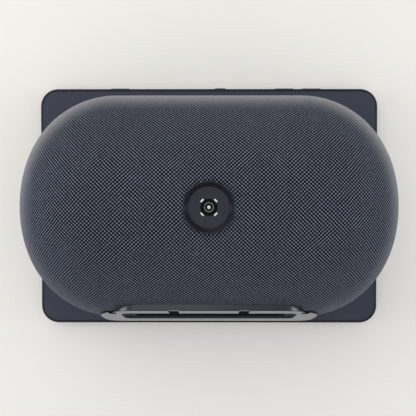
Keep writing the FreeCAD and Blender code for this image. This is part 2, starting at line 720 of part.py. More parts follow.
def screw(shank_radius, shank_length, head_radius, head_height):
    """A pan head screw along +Z, with the underside of its head at the origin."""
    head = Part.makeCylinder(head_radius, head_height, Vector(0, 0, -head_height))
    shank = Part.makeCylinder(shank_radius, shank_length)
    socket = Part.makeCylinder(head_radius * 0.4, head_height * 0.6, Vector(0, 0, -head_height))
    return head.fuse(shank).cut(socket)


def screw_group(node, frame, places, shank_length):
    """Identical screws, one at each place and pointing along the frame's +Z."""
    model = screw(size("screw_shank"), shank_length, size("screw_head"), size("screw_head_height"))
    group(node, [model.translated(place) for place in places]).Placement = frame


def head_screws():
    """Four screws that hold the head's tray to the chassis plate."""
    places = [Vector(x * size("screw_x"), size("axis_height") + y * size("screw_rise"), size(TRAY_INSIDE))
              for x in (-1, 1) for y in (-1, 1)]
    length = size("tray_floor + mount_gap + plate_thickness")
    screw_group("head_screws", head_frame(), places, length)


# ---------------------------------------------------------------- pill shaped body

def cut_slice(body, plane, level, along_normal=False):
    """Removes all of a body on one side of a plane, moved along its normal."""
    sketch = new_sketch(body, plane, level)
    rectangle(sketch, "0", "0", "4 * body_half_length", "4 * body_half_length")
    pocket(body, sketch, along_normal=along_normal)


def cut_front(body, level):
    """Removes everything in front of a depth behind the pill axis."""
    cut_slice(body, "XY_Plane", level)


def cut_back(body, level):
    """Removes everything behind a depth behind the pill axis."""
    cut_slice(body, "XY_Plane", level, along_normal=True)


def cut_floor(body, level):
    """Removes everything below a height above the table."""
    sketch = level_sketch(body, f"({AXIS_LEVEL} - {level})")
    rectangle(sketch, "0", "0", "4 * body_half_length", "6 * body_radius")
    pocket(body, sketch, along_normal=True)


def foot_opening(body):
    """Cuts the opening that the base's boss stands in."""
    sketch = level_sketch(body, f"({AXIS_LEVEL} - base_level - base_flange)")
    boss_outline(sketch, "boss_gap")
    pocket(body, sketch, along_normal=True)


def inlet_opening(body):
    """Cuts the round hole for the power recess."""
    sketch = new_sketch(body)
    circle(sketch, "0", "0", "inlet_radius + fit_gap")
    pocket(body, sketch, along_normal=True)


def pill_wall(node, outer, inner):
    """Makes one skin of the pill, open at the head, the foot and the power inlet."""
    body = new_body(node, axis_frame())
    sketch = new_sketch(body)
    pill_outline(sketch, outer, inner)
    revolve(body, sketch)
    cut_front(body, BODY_FRONT)
    cut_floor(body, "floor_clearance")
    foot_opening(body)
    inlet_opening(body)
    return body


def body_shell():
    """Moulded shell under the fabric, with rows of sound slots in front of each speaker."""
    body = pill_wall("body_shell", SHELL_OUTSIDE, SHELL_INSIDE)
    for side in (1, -1):
        slots = new_sketch(body, "YZ_Plane", f"{side} * (body_half_length - body_corner / 4)")
        for step in (-2, -1, 0, 1, 2):
            rectangle(slots, "0", f"driver_z + {step} * slot_pitch", "12 * slot_width", "slot_width")
        pocket(body, slots, along_normal=side > 0)


def room_slab(node, depth=ROOM):
    """Starts a piece that fits the room inside the pill, behind the head."""
    body = new_body(node, axis_frame())
    sketch = new_sketch(body)
    pill_outline(sketch, depth)
    revolve(body, sketch)
    return body


def chassis_plate():
    """Stiff plate that closes the pill's front, carries the boards and takes the head's screws."""
    body = room_slab("chassis_plate")
    cut_front(body, BODY_FRONT)
    cut_back(body, PLATE_BACK)
    posts = new_sketch(body, shift=PLATE_BACK)
    for x in ("(pcb_x - standoff_inset)", "-(pcb_x - standoff_inset)"):
        for y in ("(pcb_y - standoff_inset)", "-(pcb_y - standoff_inset)"):
            circle(posts, x, y, "standoff_radius")
    pad(body, posts, "standoff_height")
    holes = new_sketch(body, shift=BOARD_FRONT)
    for x in ("screw_x", "-screw_x"):
        for y in ("screw_rise", "-screw_rise"):
            circle(holes, x, y, "screw_shank")
    for x in ("(pcb_x - standoff_inset)", "-(pcb_x - standoff_inset)"):
        for y in ("(pcb_y - standoff_inset)", "-(pcb_y - standoff_inset)"):
            circle(holes, x, y, "screw_shank")
    rectangle(holes, "0", "0", "2 * cable_window_x", "2 * cable_window_y")
    pocket(body, holes)


def main_board():
    """Main circuit board with its shield can, heat sink and screws."""
    board = block("main_board", axis_frame(), "0", "0", "2 * pcb_x", "2 * pcb_y", BOARD_FRONT,
                  BOARD_BACK)
    holes = new_sketch(board, shift=BOARD_BACK)
    for x in ("(pcb_x - standoff_inset)", "-(pcb_x - standoff_inset)"):
        for y in ("(pcb_y - standoff_inset)", "-(pcb_y - standoff_inset)"):
            circle(holes, x, y, "screw_shank + fit_gap")
    pocket(board, holes)
    block("shield_can", axis_frame(), "0", "0", "2 * shield_x", "2 * shield_y", BOARD_BACK,
          SHIELD_BACK)
    sink = block("heat_sink", axis_frame(), "0", "0", "2 * shield_x - 4", "2 * shield_y - 4",
                 SHIELD_BACK, f"({SHIELD_BACK} + fin_thickness)")
    fin = new_sketch(sink, shift=f"({SHIELD_BACK} + fin_thickness)")
    rectangle(fin, "-(shield_x - 2) + fin_thickness / 2", "0", "fin_thickness", "2 * shield_y - 4")
    first = pad(sink, fin, "fin_height")
    count = int((size("2 * shield_x - 4 - fin_thickness")) // size("fin_pitch")) + 1
    row_of(sink, first, "X_Axis", f"{count - 1} * fin_pitch", count)
    reach = (size("pcb_x - standoff_inset"), size("pcb_y - standoff_inset"))
    places = [Vector(x * reach[0], y * reach[1], -size(BOARD_BACK)) for x in (-1, 1) for y in (-1, 1)]
    facing_forward = axis_frame() * Placement(Vector(), Rotation(Vector(1, 0, 0), 180))
    screw_group("board_screws", facing_forward, places, size("pcb_thickness + standoff_height"))


def antennas():
    """Two wireless antennas on the chassis plate, above the main board."""
    low, back = size("pcb_y") + 6, size(PLATE_BACK)
    pieces = [Part.makeBox(24, 6, 1, Vector(x - 12, low, back)) for x in (-28, 28)]
    group("wireless_antennas", pieces).Placement = axis_frame()


def display_ribbon():
    """Flat ribbon cable from the lamp tray back through both windows to the main board."""
    front, back = size(f"{LCD_BACK} + backlight_thickness - axis_depth"), size(BOARD_FRONT)
    pieces = Part.makeBox(20, 0.4, back - front, Vector(-10, 0, front))
    group("display_ribbon", [pieces]).Placement = axis_frame()


# ---------------------------------------------------------------- speakers

def speaker_baffle(side, node):
    """Bulkhead that fills the pill's section and holds one speaker."""
    body = room_slab(node)
    cut_slice(body, "YZ_Plane", f"{side} * baffle_x", along_normal=side < 0)
    cut_slice(body, "YZ_Plane", f"{side} * (baffle_x + baffle_thickness)", along_normal=side > 0)
    cut_front(body, f"({PLATE_BACK} + fit_gap)")
    cut_floor(body, "(base_level + base_flange + inner_gap)")
    hole = new_sketch(body, "YZ_Plane", f"{side} * (baffle_x - fit_gap)")
    circle(hole, "0", "driver_z", "basket_radius + fit_gap")
    pocket(body, hole, along_normal=side > 0)


def speaker(side, name):
    """One speaker: frame, magnet, moving cone with its coil and cap, and the rubber surround."""
    frame = speaker_frame(side)
    floor = "-(basket_depth)"
    turned(f"{name}_speaker_frame", frame, ("driver_radius", "0"), [
        ("driver_radius", "driver_flange"), ("roll_outer", "driver_flange"),
        ("roll_outer", "-1"), ("magnet_radius - 1", f"{floor} + 1.2"),
        ("coil_radius + 2", f"{floor} + 1.2"), ("coil_radius + 2", floor),
        ("magnet_radius", floor), ("basket_radius", "-2"), ("basket_radius", "0"),
        ("driver_radius", "0"),
    ])
    magnet_back = "-(basket_depth + magnet_depth)"
    turned(f"{name}_magnet", frame, ("0", magnet_back), [
        ("magnet_radius", magnet_back), ("magnet_radius", floor),
        ("coil_radius + slide_gap", floor), ("coil_radius + slide_gap", f"{magnet_back} + 2"),
        ("coil_radius - coil_wall - slide_gap", f"{magnet_back} + 2"),
        ("coil_radius - coil_wall - slide_gap", floor), ("0", floor), ("0", magnet_back),
    ])
    rim, neck = "(driver_flange - 0.4)", "(driver_flange - 0.4 - cone_depth)"
    turned(f"{name}_cone", frame, ("cone_radius", rim), [
        ("coil_radius", neck), ("coil_radius", f"{neck} - coil_length"),
        ("coil_radius - coil_wall", f"{neck} - coil_length"), ("coil_radius - coil_wall", f"{neck} + 1"),
        ("cone_radius - 0.4", f"{rim} + cone_wall"), ("cone_radius", f"{rim} + cone_wall"),
        ("cone_radius", rim),
    ])
    cap_low = f"({neck} + 2.2)"
    dome = "((cap_radius * cap_radius + cap_rise * cap_rise) / (2 * cap_rise))"
    turned(f"{name}_dust_cap", frame, ("0", f"{cap_low} + cap_rise"), [
        ("cap_radius", cap_low, dome, -1), ("0", cap_low), ("0", f"{cap_low} + cap_rise"),
    ])
    roll = "(roll_outer - cone_radius) / 2"
    turned(f"{name}_surround", frame, ("cone_radius + fit_gap", rim), [
        ("cone_radius + fit_gap", f"{rim} + 0.6"),
        (f"cone_radius + {roll}", f"{rim} + 0.6 + {roll} * 0.8", f"{roll} * 1.05", -1),
        ("roll_outer - fit_gap", f"{rim} + 0.6", f"{roll} * 1.05", -1),
        ("roll_outer - fit_gap", rim), ("cone_radius + fit_gap", rim),
    ])


def passive_radiator():
    """Bulkhead under the pill's top with a radiator: frame, weighted plate and surround."""
    body = room_slab("radiator_baffle")
    cut_slice(body, "XZ_Plane", "-radiator_y", along_normal=True)
    cut_slice(body, "XZ_Plane", "-(radiator_y + plate_thickness)")
    cut_slice(body, "YZ_Plane", "(baffle_x - fit_gap)", along_normal=True)
    cut_slice(body, "YZ_Plane", "-(baffle_x - fit_gap)")
    cut_front(body, f"({PLATE_BACK} + fit_gap)")
    hole = new_sketch(body, "XZ_Plane", "-(radiator_y - fit_gap)")
    circle(hole, "0", "radiator_z", "radiator_roll")
    pocket(body, hole)
    frame = radiator_frame()
    turned_ring("radiator_frame", frame, "radiator_roll", "radiator_radius", "0", "1.6")
    turned_ring("radiator_plate", frame, "0", "radiator_plate", "0", "2.2")
    roll = "(radiator_roll - radiator_plate) / 2"
    turned("radiator_surround", frame, ("radiator_plate + fit_gap", "0"), [
        ("radiator_plate + fit_gap", "0.7"),
        (f"radiator_plate + {roll}", f"0.7 + {roll} * 0.8", f"{roll} * 1.05", -1),
        ("radiator_roll - fit_gap", "0.7", f"{roll} * 1.05", -1),
        ("radiator_roll - fit_gap", "0"), ("radiator_plate + fit_gap", "0"),
    ])


# ---------------------------------------------------------------- power inlet

CLIP_TURNS = (45, 135, 225, 315)


def clip_window(sketch, turn):
    """Draws the notch beside the socket's bore that one contact clip stands in."""
    inner, outer = "(jack_bore - 2 * fit_gap)", "(clip_radius + clip_width + fit_gap)"
    half = "(clip_length / 2 + fit_gap)"

    def corner(reach, across):
        """A point at a reach from the middle and a distance across, turned."""
        return (f"{reach} * cos({turn}) - {across} * sin({turn})",
                f"{reach} * sin({turn}) + {across} * cos({turn})")

    corners = [corner(outer, f"-{half}"), corner(outer, half), corner(inner, half), corner(inner, f"-{half}")]
    outline(sketch, corners[3], corners)


def power_inlet():
    """Round recess in the middle of the back with its socket, centre pin, sleeve and clips."""
    frame = axis_frame()
    cup = turned("inlet_cup", frame, ("jack_bore", JACK_FRONT), [
        ("inlet_radius", JACK_FRONT), ("inlet_radius", INLET_MOUTH), ("inlet_mouth + 0.2", INLET_MOUTH),
        ("inlet_mouth", f"{INLET_MOUTH} - 0.2"), ("inlet_disc", f"{INLET_SEAT} + 0.5"),
        ("inlet_disc", INLET_SEAT), ("jack_bore", INLET_SEAT), ("jack_bore", JACK_FRONT),
    ])
    for turn in CLIP_TURNS:
        window = new_sketch(cup, "XY_Plane", INLET_SEAT)
        clip_window(window, turn)
        pocket(cup, window, "inlet_floor / 2")
    housing = block("jack_housing", frame, "0", "0", "jack_side", "jack_side", JACK_BACK, JACK_FRONT)
    bore = new_sketch(housing, shift=JACK_FRONT)
    circle(bore, "0", "0", "jack_bore")
    pocket(housing, bore, f"{JACK_FRONT} - {JACK_BOTTOM}")
    tip = f"({JACK_BOTTOM} + pin_free_length)"
    turned("jack_pin", frame, ("0", JACK_BOTTOM), [
        ("pin_radius", JACK_BOTTOM), ("pin_radius", f"{tip} - pin_radius / 2"),
        ("pin_radius / 2", tip, "pin_radius / 2", 1), ("0", tip), ("0", JACK_BOTTOM),
    ])
    turned_ring("jack_sleeve", frame, "sleeve_inner", "sleeve_outer", JACK_BOTTOM,
                f"{JACK_BOTTOM} + sleeve_length")
    length, width = size("clip_length"), size("clip_width")
    low, high = size(f"{INLET_SEAT} - inlet_floor / 2"), size(f"{INLET_SEAT} + clip_rise")
    clips = []
    for turn in CLIP_TURNS:
        bar = Part.makeBox(width, length, high - low, Vector(size("clip_radius"), -length / 2, low))
        bar.rotate(Vector(), Vector(0, 0, 1), turn)
        clips.append(bar)
    group("jack_clips", clips).Placement = frame
    block("jack_board", frame, "0", "0", "jack_side + 8", "jack_side + 2",
          f"({JACK_BACK} - board_thickness)", JACK_BACK)


# ---------------------------------------------------------------- foot

def base_plate():
    """Base with an inner flange, a boss that fills the fabric's opening and a long recess below."""
    body = new_body("base_plate", stand_frame())
    boss = new_sketch(body, shift="foot_proud")
    boss_outline(boss)
    pad(body, boss, "base_level + base_flange - foot_proud")
    flange = new_sketch(body, shift="base_level")
    boss_outline(flange, "base_flange_rim")
    pad(body, flange, "base_flange")
    seat = new_sketch(body, shift="foot_thickness")
    boss_outline(seat, "-boss_rim")
    pocket(body, seat)
    recess = new_sketch(body, shift="slot_depth")
    slot_outline(recess, "(slot_half_depth - fit_gap)", "(slot_half_depth - fit_gap)")
    pocket(body, recess)
    holes = new_sketch(body, shift="base_level")
    for x in ("base_screw_x", "-base_screw_x"):
        circle(holes, x, "0", "screw_shank + fit_gap")
    pocket(body, holes, along_normal=True)
    wells = new_sketch(body, shift="base_level")
    for x in ("base_screw_x", "-base_screw_x"):
        circle(wells, x, "0", "screw_head + fit_gap")
    pocket(body, wells)


def foot_pad():
    """Rubber ring that the object stands on, with gaps and round notches in its rear strip."""
    body = new_body("foot_pad", stand_frame())
    sketch = new_sketch(body)
    foot_outline(sketch, "foot_half_length", "foot_rear", "foot_front", "foot_rear_corner",
                 "foot_front_corner")
    slot_outline(sketch)
    pad(body, sketch, "foot_proud")
    plug = new_sketch(body, shift="foot_proud")
    boss_outline(plug, "-(boss_rim + fit_gap)")
    slot_outline(plug)
    pad(body, plug, "foot_thickness - foot_proud")
    gaps = new_sketch(body, shift="foot_thickness")
    for side in (1, -1):
        rectangle(gaps, f"{side} * (notch_inner + notch_width / 2)", "(foot_rear + slot_half_depth) / 2",
                  "notch_width", "(foot_rear - slot_half_depth + 2)")
        rectangle(gaps, f"{side} * bump_x", "(bump_y + foot_rear) / 2", "2 * bump_radius",
                  "foot_rear - bump_y")
    pocket(body, gaps)
    bumps = new_sketch(body, shift="foot_thickness")
    for side in (1, -1):
        circle(bumps, f"{side} * bump_x", "bump_y", "bump_radius")
    pocket(body, bumps)


def base_screws():
    """Two screws through the base into the bridge above it."""
    places = [Vector(side * size("base_screw_x"), 0, size("base_level")) for side in (-1, 1)]
    screw_group("base_screws", stand_frame(), places, size("base_flange + plate_thickness"))


def base_bridge():
    """Cross bar above the base that its screws pull against, clamping the shell between them."""
    body = new_body("base_bridge", stand_frame())
    sketch = new_sketch(body, shift="(base_level + base_flange)")
    round_rectangle(sketch, "0", "0", "2 * base_screw_x + 16", "14", "4")
    pad(body, sketch, "plate_thickness")
    holes = new_sketch(body, shift="(base_level + base_flange + plate_thickness)")
    for x in ("base_screw_x", "-base_screw_x"):
        circle(holes, x, "0", "screw_shank")
    pocket(body, holes)


# ---------------------------------------------------------------- whole object

def build():
    """Makes every sub-part in order, from the head backwards and down."""
    cover_glass()
    glass_gasket()
    display_frame()
    display_tray()
    screen_module()
    camera()
    shutter()
    push_button("volume_down_button", "volume_down_x")
    push_button("volume_up_button", "volume_up_x")
    push_button("mute_button", "mute_x")
    switches()
    microphones()
    head_screws()
    pill_wall("fabric_cover", "0", "fabric_thickness")
    body_shell()
    chassis_plate()
    main_board()
    antennas()
    display_ribbon()
    for side, name in ((1, "left"), (-1, "right")):
        speaker_baffle(side, f"{name}_speaker_baffle")
        speaker(side, name)
    passive_radiator()
    power_inlet()
    base_plate()
    foot_pad()
    base_screws()
    base_bridge()


def sub_parts():
    """Lists the sub-parts: the bodies and the plain features that hold a shape of their own."""
    kinds = ("PartDesign::Body", "Part::Feature")
    return [item for item in doc.Objects if item.TypeId in kinds]


def check():
    """Stops if any object failed or any sub-part's shape is missing or broken."""
    doc.recompute()
    failed = [item.Name for item in doc.Objects if {"Invalid", "Error"} & set(item.State)]
    broken = [item.Label for item in sub_parts() if item.Shape.isNull() or not item.Shape.isValid()]
    if failed or broken:
        raise RuntimeError(f"failed features {failed}, broken shapes {broken}")


def write():
    """Writes each sub-part to its own STEP file."""
    os.makedirs("parts", exist_ok=True)
    for item in sub_parts():
        item.Shape.exportStep(f"parts/{item.Label}.step")
        print(item.Label, round(item.Shape.Volume, 2), len(item.Shape.Solids))


build()
check()
write()
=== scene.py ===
"""Looks of the smart display: a touch screen panel with a knitted, pill shaped speaker body."""
import json
import logging
import math
from dataclasses import dataclass, field
from enum import Enum
from typing import Sequence

import bmesh
import bpy
from mathutils import Matrix, Vector


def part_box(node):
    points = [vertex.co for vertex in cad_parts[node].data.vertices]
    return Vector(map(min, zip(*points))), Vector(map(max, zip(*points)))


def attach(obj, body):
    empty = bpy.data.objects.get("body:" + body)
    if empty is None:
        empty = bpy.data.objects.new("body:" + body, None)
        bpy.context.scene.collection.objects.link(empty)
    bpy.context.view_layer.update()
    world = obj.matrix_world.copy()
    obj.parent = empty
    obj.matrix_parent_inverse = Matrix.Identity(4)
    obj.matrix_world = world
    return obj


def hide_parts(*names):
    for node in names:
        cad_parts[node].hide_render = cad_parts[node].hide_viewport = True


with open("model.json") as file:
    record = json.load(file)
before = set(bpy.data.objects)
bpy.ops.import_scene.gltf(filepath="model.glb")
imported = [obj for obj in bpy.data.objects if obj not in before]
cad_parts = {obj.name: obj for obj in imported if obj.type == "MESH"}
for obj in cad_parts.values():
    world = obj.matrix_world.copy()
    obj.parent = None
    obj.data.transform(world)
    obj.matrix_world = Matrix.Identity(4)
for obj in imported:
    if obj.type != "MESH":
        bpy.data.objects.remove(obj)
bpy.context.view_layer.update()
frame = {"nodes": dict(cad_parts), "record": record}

LOG = logging.getLogger("smart_display")
MM = 0.001
HOUSING = "housing"


# ---------------------------------------------------------------- shader expressions

class Value:
    """A number inside a material, with Python's operators."""

    def __init__(self, tree: "Tree", socket: bpy.types.NodeSocket) -> None:
        """Wraps an output socket of a tree's node."""
        self.tree = tree
        self.socket = socket

    def _math(self, operation: str, *others: "Value | float") -> "Value":
        """Adds one Math node.

        Args:
            operation: The node's operation, such as MULTIPLY.
            others: The second and third inputs.

        Returns:
            The node's result.
        """
        made = self.tree.node("ShaderNodeMath", {"operation": operation}, [self, *others])
        return Value(self.tree, made.outputs[0])

    def _from_left(self, operation: str, other: float) -> "Value":
        """Adds one Math node with a plain number as its first input."""
        made = self.tree.node("ShaderNodeMath", {"operation": operation}, [other, self])
        return Value(self.tree, made.outputs[0])

    def __add__(self, other: "Value | float") -> "Value":
        """Sum."""
        return self._math("ADD", other)

    __radd__ = __add__

    def __mul__(self, other: "Value | float") -> "Value":
        """Product."""
        return self._math("MULTIPLY", other)

    __rmul__ = __mul__

    def __sub__(self, other: "Value | float") -> "Value":
        """Difference."""
        return self._math("SUBTRACT", other)

    def __rsub__(self, other: float) -> "Value":
        """Difference from a plain number."""
        return self._from_left("SUBTRACT", other)

    def __truediv__(self, other: "Value | float") -> "Value":
        """Quotient."""
        return self._math("DIVIDE", other)

    def __pow__(self, other: float) -> "Value":
        """Power."""
        return self._math("POWER", other)

    def __abs__(self) -> "Value":
        """Size without sign."""
        return self._math("ABSOLUTE")

    def cosine(self) -> "Value":
        """Cosine of an angle in radians."""
        return self._math("COSINE")

    def root(self) -> "Value":
        """Square root."""
        return self._math("SQRT")

    def lower(self, other: "Value | float") -> "Value":
        """The smaller of two.

        Args:
            other: What it is compared with.

        Returns:
            The smaller one.
        """
        return self._math("MINIMUM", other)

    def higher(self, other: "Value | float") -> "Value":
        """The larger of two.

        Args:
            other: What it is compared with.

        Returns:
            The larger one.
        """
        return self._math("MAXIMUM", other)

    def step(self, start: float, end: float) -> "Value":
        """Rises smoothly from 0 at start to 1 at end; falls if end is the smaller.

        Args:
            start: Where the result is 0.
            end: Where the result is 1.

        Returns:
            The result, from 0 to 1.
        """
        low, high, out = (start, end, (0.0, 1.0)) if start < end else (end, start, (1.0, 0.0))
        made = self.tree.node(
            "ShaderNodeMapRange",
            {"interpolation_type": "SMOOTHSTEP"},
            {"Value": self, "From Min": low, "From Max": high, "To Min": out[0], "To Max": out[1]},
        )
        return Value(self.tree, made.outputs["Result"])


Input = "Value | float | Sequence[float] | bpy.types.NodeSocket"


class Tree:
    """The node tree of one material."""

    def __init__(self, name: str) -> None:
        """Makes an empty material with one shader and its output."""
        self.material = bpy.data.materials.new(name)
        self.material.use_nodes = True
        self.nodes = self.material.node_tree.nodes
        self.links = self.material.node_tree.links
        self.nodes.clear()
        self.output = self.nodes.new("ShaderNodeOutputMaterial")
        self.shader = self.nodes.new("ShaderNodeBsdfPrincipled")
        self.links.new(self.shader.outputs[0], self.output.inputs["Surface"])

    def plug(self, socket: bpy.types.NodeSocket, value: Input) -> None:
        """Links a value to a socket, or sets it if it is a plain number or colour.

        Args:
            socket: The input socket.
            value: What goes into it.
        """
        source = value.socket if isinstance(value, Value) else value
        if isinstance(source, bpy.types.NodeSocket):
            self.links.new(source, socket)
        elif isinstance(source, (int, float)) or len(socket.default_value) == len(source):
            socket.default_value = source
        else:
            socket.default_value = (*source, 1.0)

    def node(self, kind: str, settings: dict | None = None,
             inputs: dict | list | None = None) -> bpy.types.Node:
        """Adds any node.

        Args:
            kind: The node's type.
            settings: Its own settings, set first; "ramp" holds a colour ramp's stops.
            inputs: Its sockets' values or links, by name or in order.

        Returns:
            The new node.
        """
        made = self.nodes.new(kind)
        for key, value in (settings or {}).items():
            if key == "ramp":
                self._set_ramp(made.color_ramp, value)
            else:
                setattr(made, key, value)
        pairs = inputs.items() if isinstance(inputs, dict) else enumerate(inputs or [])
        for key, value in pairs:
            self.plug(made.inputs[key], value)
        return made

    @staticmethod
    def _set_ramp(ramp: bpy.types.ColorRamp, stops: Sequence[tuple[float, Sequence[float]]]) -> None:
        """Writes a colour ramp's stops."""
        while len(ramp.elements) < len(stops):
            ramp.elements.new(0.5)
        for element, (place, colour) in zip(ramp.elements, stops):
            element.position = place
            element.color = (*colour, 1.0)

    def set(self, **inputs: Input) -> None:
        """Sets the shader's inputs; base_color stands for Base Color."""
        for key, value in inputs.items():
            self.plug(self.shader.inputs[key.replace("_", " ").title().replace("Ior", "IOR")], value)

    def place(self, scale: Sequence[float] = (1, 1, 1), turn: Sequence[float] = (0, 0, 0),
              shift: Sequence[float] = (0, 0, 0)) -> bpy.types.NodeSocket:
        """Object coordinates, scaled, turned and then moved.

        Args:
            scale: Scale per axis.
            turn: Turn per axis in radians.
            shift: Shift per axis, after the turn and the scale.

        Returns:
            The Mapping node's output.
        """
        source = self.node("ShaderNodeTexCoord").outputs["Object"]
        inputs = {"Vector": source, "Location": shift, "Rotation": turn, "Scale": scale}
        return self.node("ShaderNodeMapping", {"vector_type": "POINT"}, inputs).outputs[0]

    def split(self, vector: bpy.types.NodeSocket) -> tuple[Value, Value, Value]:
        """Splits a vector into its three numbers.

        Args:
            vector: The vector.

        Returns:
            Its x, y and z.
        """
        made = self.node("ShaderNodeSeparateXYZ", None, [vector])
        return tuple(Value(self, socket) for socket in made.outputs)

    def join(self, x: Input, y: Input, z: Input = 0.0) -> bpy.types.NodeSocket:
        """Joins three numbers into a vector.

        Args:
            x: First number.
            y: Second number.
            z: Third number.

        Returns:
            The vector.
        """
        return self.node("ShaderNodeCombineXYZ", None, [x, y, z]).outputs[0]

    def noise(self, scale: float, detail: float = 3.0, roughness: float = 0.55,
              vector: bpy.types.NodeSocket | None = None) -> Value:
        """Smooth noise from 0 to 1 over object coordinates in metres, unless a vector is given.

        Args:
            scale: Waves per metre.
            detail: Number of finer layers.
            roughness: Strength of the finer layers.
            vector: Coordinates to read instead.

        Returns:
            The noise.
        """
        source = vector or self.place()
        inputs = {"Vector": source, "Scale": scale, "Detail": detail, "Roughness": roughness}
        return Value(self, self.node("ShaderNodeTexNoise", None, inputs).outputs[0])

    def cells(self, scale: float, vector: bpy.types.NodeSocket | None = None) -> Value:
        """Distance to the nearest of many scattered points, in cells.

        Args:
            scale: Cells per metre.
            vector: Coordinates to read instead of the object ones.

        Returns:
            The distance.
        """
        inputs = {"Vector": vector or self.place(), "Scale": scale}
        return Value(self, self.node("ShaderNodeTexVoronoi", None, inputs).outputs["Distance"])

    def mix(self, factor: Input, a: Input, b: Input) -> bpy.types.NodeSocket:
        """Mixes two colours.

        Args:
            factor: 0 gives the first, 1 the second.
            a: First colour.
            b: Second colour.

        Returns:
            The mixed colour.
        """
        made = self.node("ShaderNodeMix", {"data_type": "RGBA"}, {0: factor})
        self.plug(made.inputs[6], a)
        self.plug(made.inputs[7], b)
        return made.outputs[2]

    def bump(self, height: Value, distance: float, strength: float = 1.0) -> None:
        """Feeds a height map to the shader's normal; distance is the relief in metres.

        Args:
            height: Height from 0 to 1.
            distance: Relief in metres.
            strength: Share of the effect.
        """
        inputs = {"Height": height, "Distance": distance, "Strength": strength}
        self.plug(self.shader.inputs["Normal"], self.node("ShaderNodeBump", None, inputs).outputs[0])


# ---------------------------------------------------------------- finishes

Colour = tuple[float, float, float]


def tint(colour: Colour, share: float) -> Colour:
    """Scales a colour's brightness.

    Args:
        colour: The colour to scale.
        share: 1 leaves it as it is.

    Returns:
        The scaled colour.
    """
    return tuple(part * share for part in colour)


@dataclass(frozen=True)
class Plastic:
    """Moulded plastic with a fine spark eroded grain and faint handling marks."""

    colour: Colour
    roughness: float = 0.5
    grain_scale: float = 2600.0
    grain_relief: float = 0.02 * MM
    patchiness: float = 0.08

    def material(self, name: str) -> bpy.types.Material:
        """Builds the finish.

        Args:
            name: The material's name.

        Returns:
            The material.
        """
        tree = Tree(name)
        grain = tree.noise(self.grain_scale, 2.0)
        cloud = tree.noise(38.0, 4.0, 0.6)
        shade = tree.mix(cloud.step(0.3, 0.7), tint(self.colour, 1 - self.patchiness),
                         tint(self.colour, 1 + self.patchiness))
        tree.set(base_color=shade, roughness=cloud * 0.14 + grain * 0.08 + (self.roughness - 0.11))
        tree.bump(grain, self.grain_relief)
        return tree.material


@dataclass(frozen=True)
class Rubber:
    """Soft moulded rubber with a matt, slightly dusty face; where a side colour is given, faces that
    don't point down take it as painted shade.
    """

    colour: Colour
    dust: Colour
    dust_amount: float = 0.35
    roughness: float = 0.82
    side: Colour | None = None

    def material(self, name: str) -> bpy.types.Material:
        """Builds the finish under a name and returns it.

        Args:
            name: The material's name.

        Returns:
            The material.
        """
        tree = Tree(name)
        fine = tree.noise(2200.0, 2.0)
        cloud = tree.noise(120.0, 5.0, 0.65)
        shade = tree.mix(cloud.step(0.42, 0.72) * self.dust_amount, self.colour, self.dust)
        # painted shade: faces that don't point down take the darker side colour
        if self.side:
            _, _, rise = tree.split(tree.node("ShaderNodeTexCoord").outputs["Normal"])
            shade = tree.mix(rise.step(-0.9, -0.6), shade, self.side)
        tree.set(base_color=shade, roughness=fine * 0.12 + (self.roughness - 0.06))
        tree.bump(fine * 0.6 + cloud * 0.4, 0.05 * MM)
        return tree.material


class Lay(Enum):
    """How a metal's surface marks run."""

    BRUSHED = "brushed"
    TURNED = "turned"
    CAST = "cast"


@dataclass(frozen=True)
class Metal:
    """Metal with brushed, turned or cast marks."""

    colour: Colour
    roughness: float = 0.3
    lay: Lay = Lay.BRUSHED

    def material(self, name: str) -> bpy.types.Material:
        """Builds the finish under a name and returns it.

        Args:
            name: The material's name.

        Returns:
            The material.
        """
        tree = Tree(name)
        if self.lay is Lay.BRUSHED:
            marks = tree.noise(1.0, 3.0, 0.6, tree.place(scale=(90.0, 2600.0, 2600.0)))
        elif self.lay is Lay.TURNED:
            marks = tree.noise(1500.0, 2.0)
        else:
            marks = tree.cells(1400.0)
        stain = tree.noise(160.0, 4.0)
        shade = tree.mix(stain.step(0.35, 0.75), self.colour, tint(self.colour, 0.86))
        tree.set(base_color=shade, metallic=1.0,
                 roughness=marks * 0.16 + stain * 0.1 + (self.roughness - 0.12))
        tree.bump(marks, 0.01 * MM)
        return tree.material


@dataclass(frozen=True)
class Board:
    """Circuit board: coloured mask with copper tracks showing through and small plated holes."""

    mask: Colour = (0.012, 0.075, 0.042)
    track: Colour = (0.03, 0.16, 0.085)
    pitch: float = 1.3 * MM

    def material(self, name: str) -> bpy.types.Material:
        """Builds the finish under a name and returns it.

        Args:
            name: The material's name.

        Returns:
            The material.
        """
        tree = Tree(name)
        along, _, up = tree.split(tree.place())
        wander = tree.noise(70.0, 1.0) * 0.9
        lines = abs(((along / self.pitch + wander) * (2 * math.pi)).cosine())
        rows = abs(((up / self.pitch + wander) * (2 * math.pi)).cosine())
        choice = tree.noise(55.0, 0.0).step(0.48, 0.52)
        tracks = (lines * choice + rows * (1 - choice)).step(0.7, 0.9)
        vias = tree.cells(300.0).step(0.16, 0.1)
        shade = tree.mix(tracks, self.mask, self.track)
        shade = tree.mix(vias, shade, (0.55, 0.42, 0.2))
        tree.set(base_color=shade, roughness=0.42 - tracks * 0.1, metallic=vias)
        tree.bump(tracks + vias, 0.03 * MM)
        return tree.material


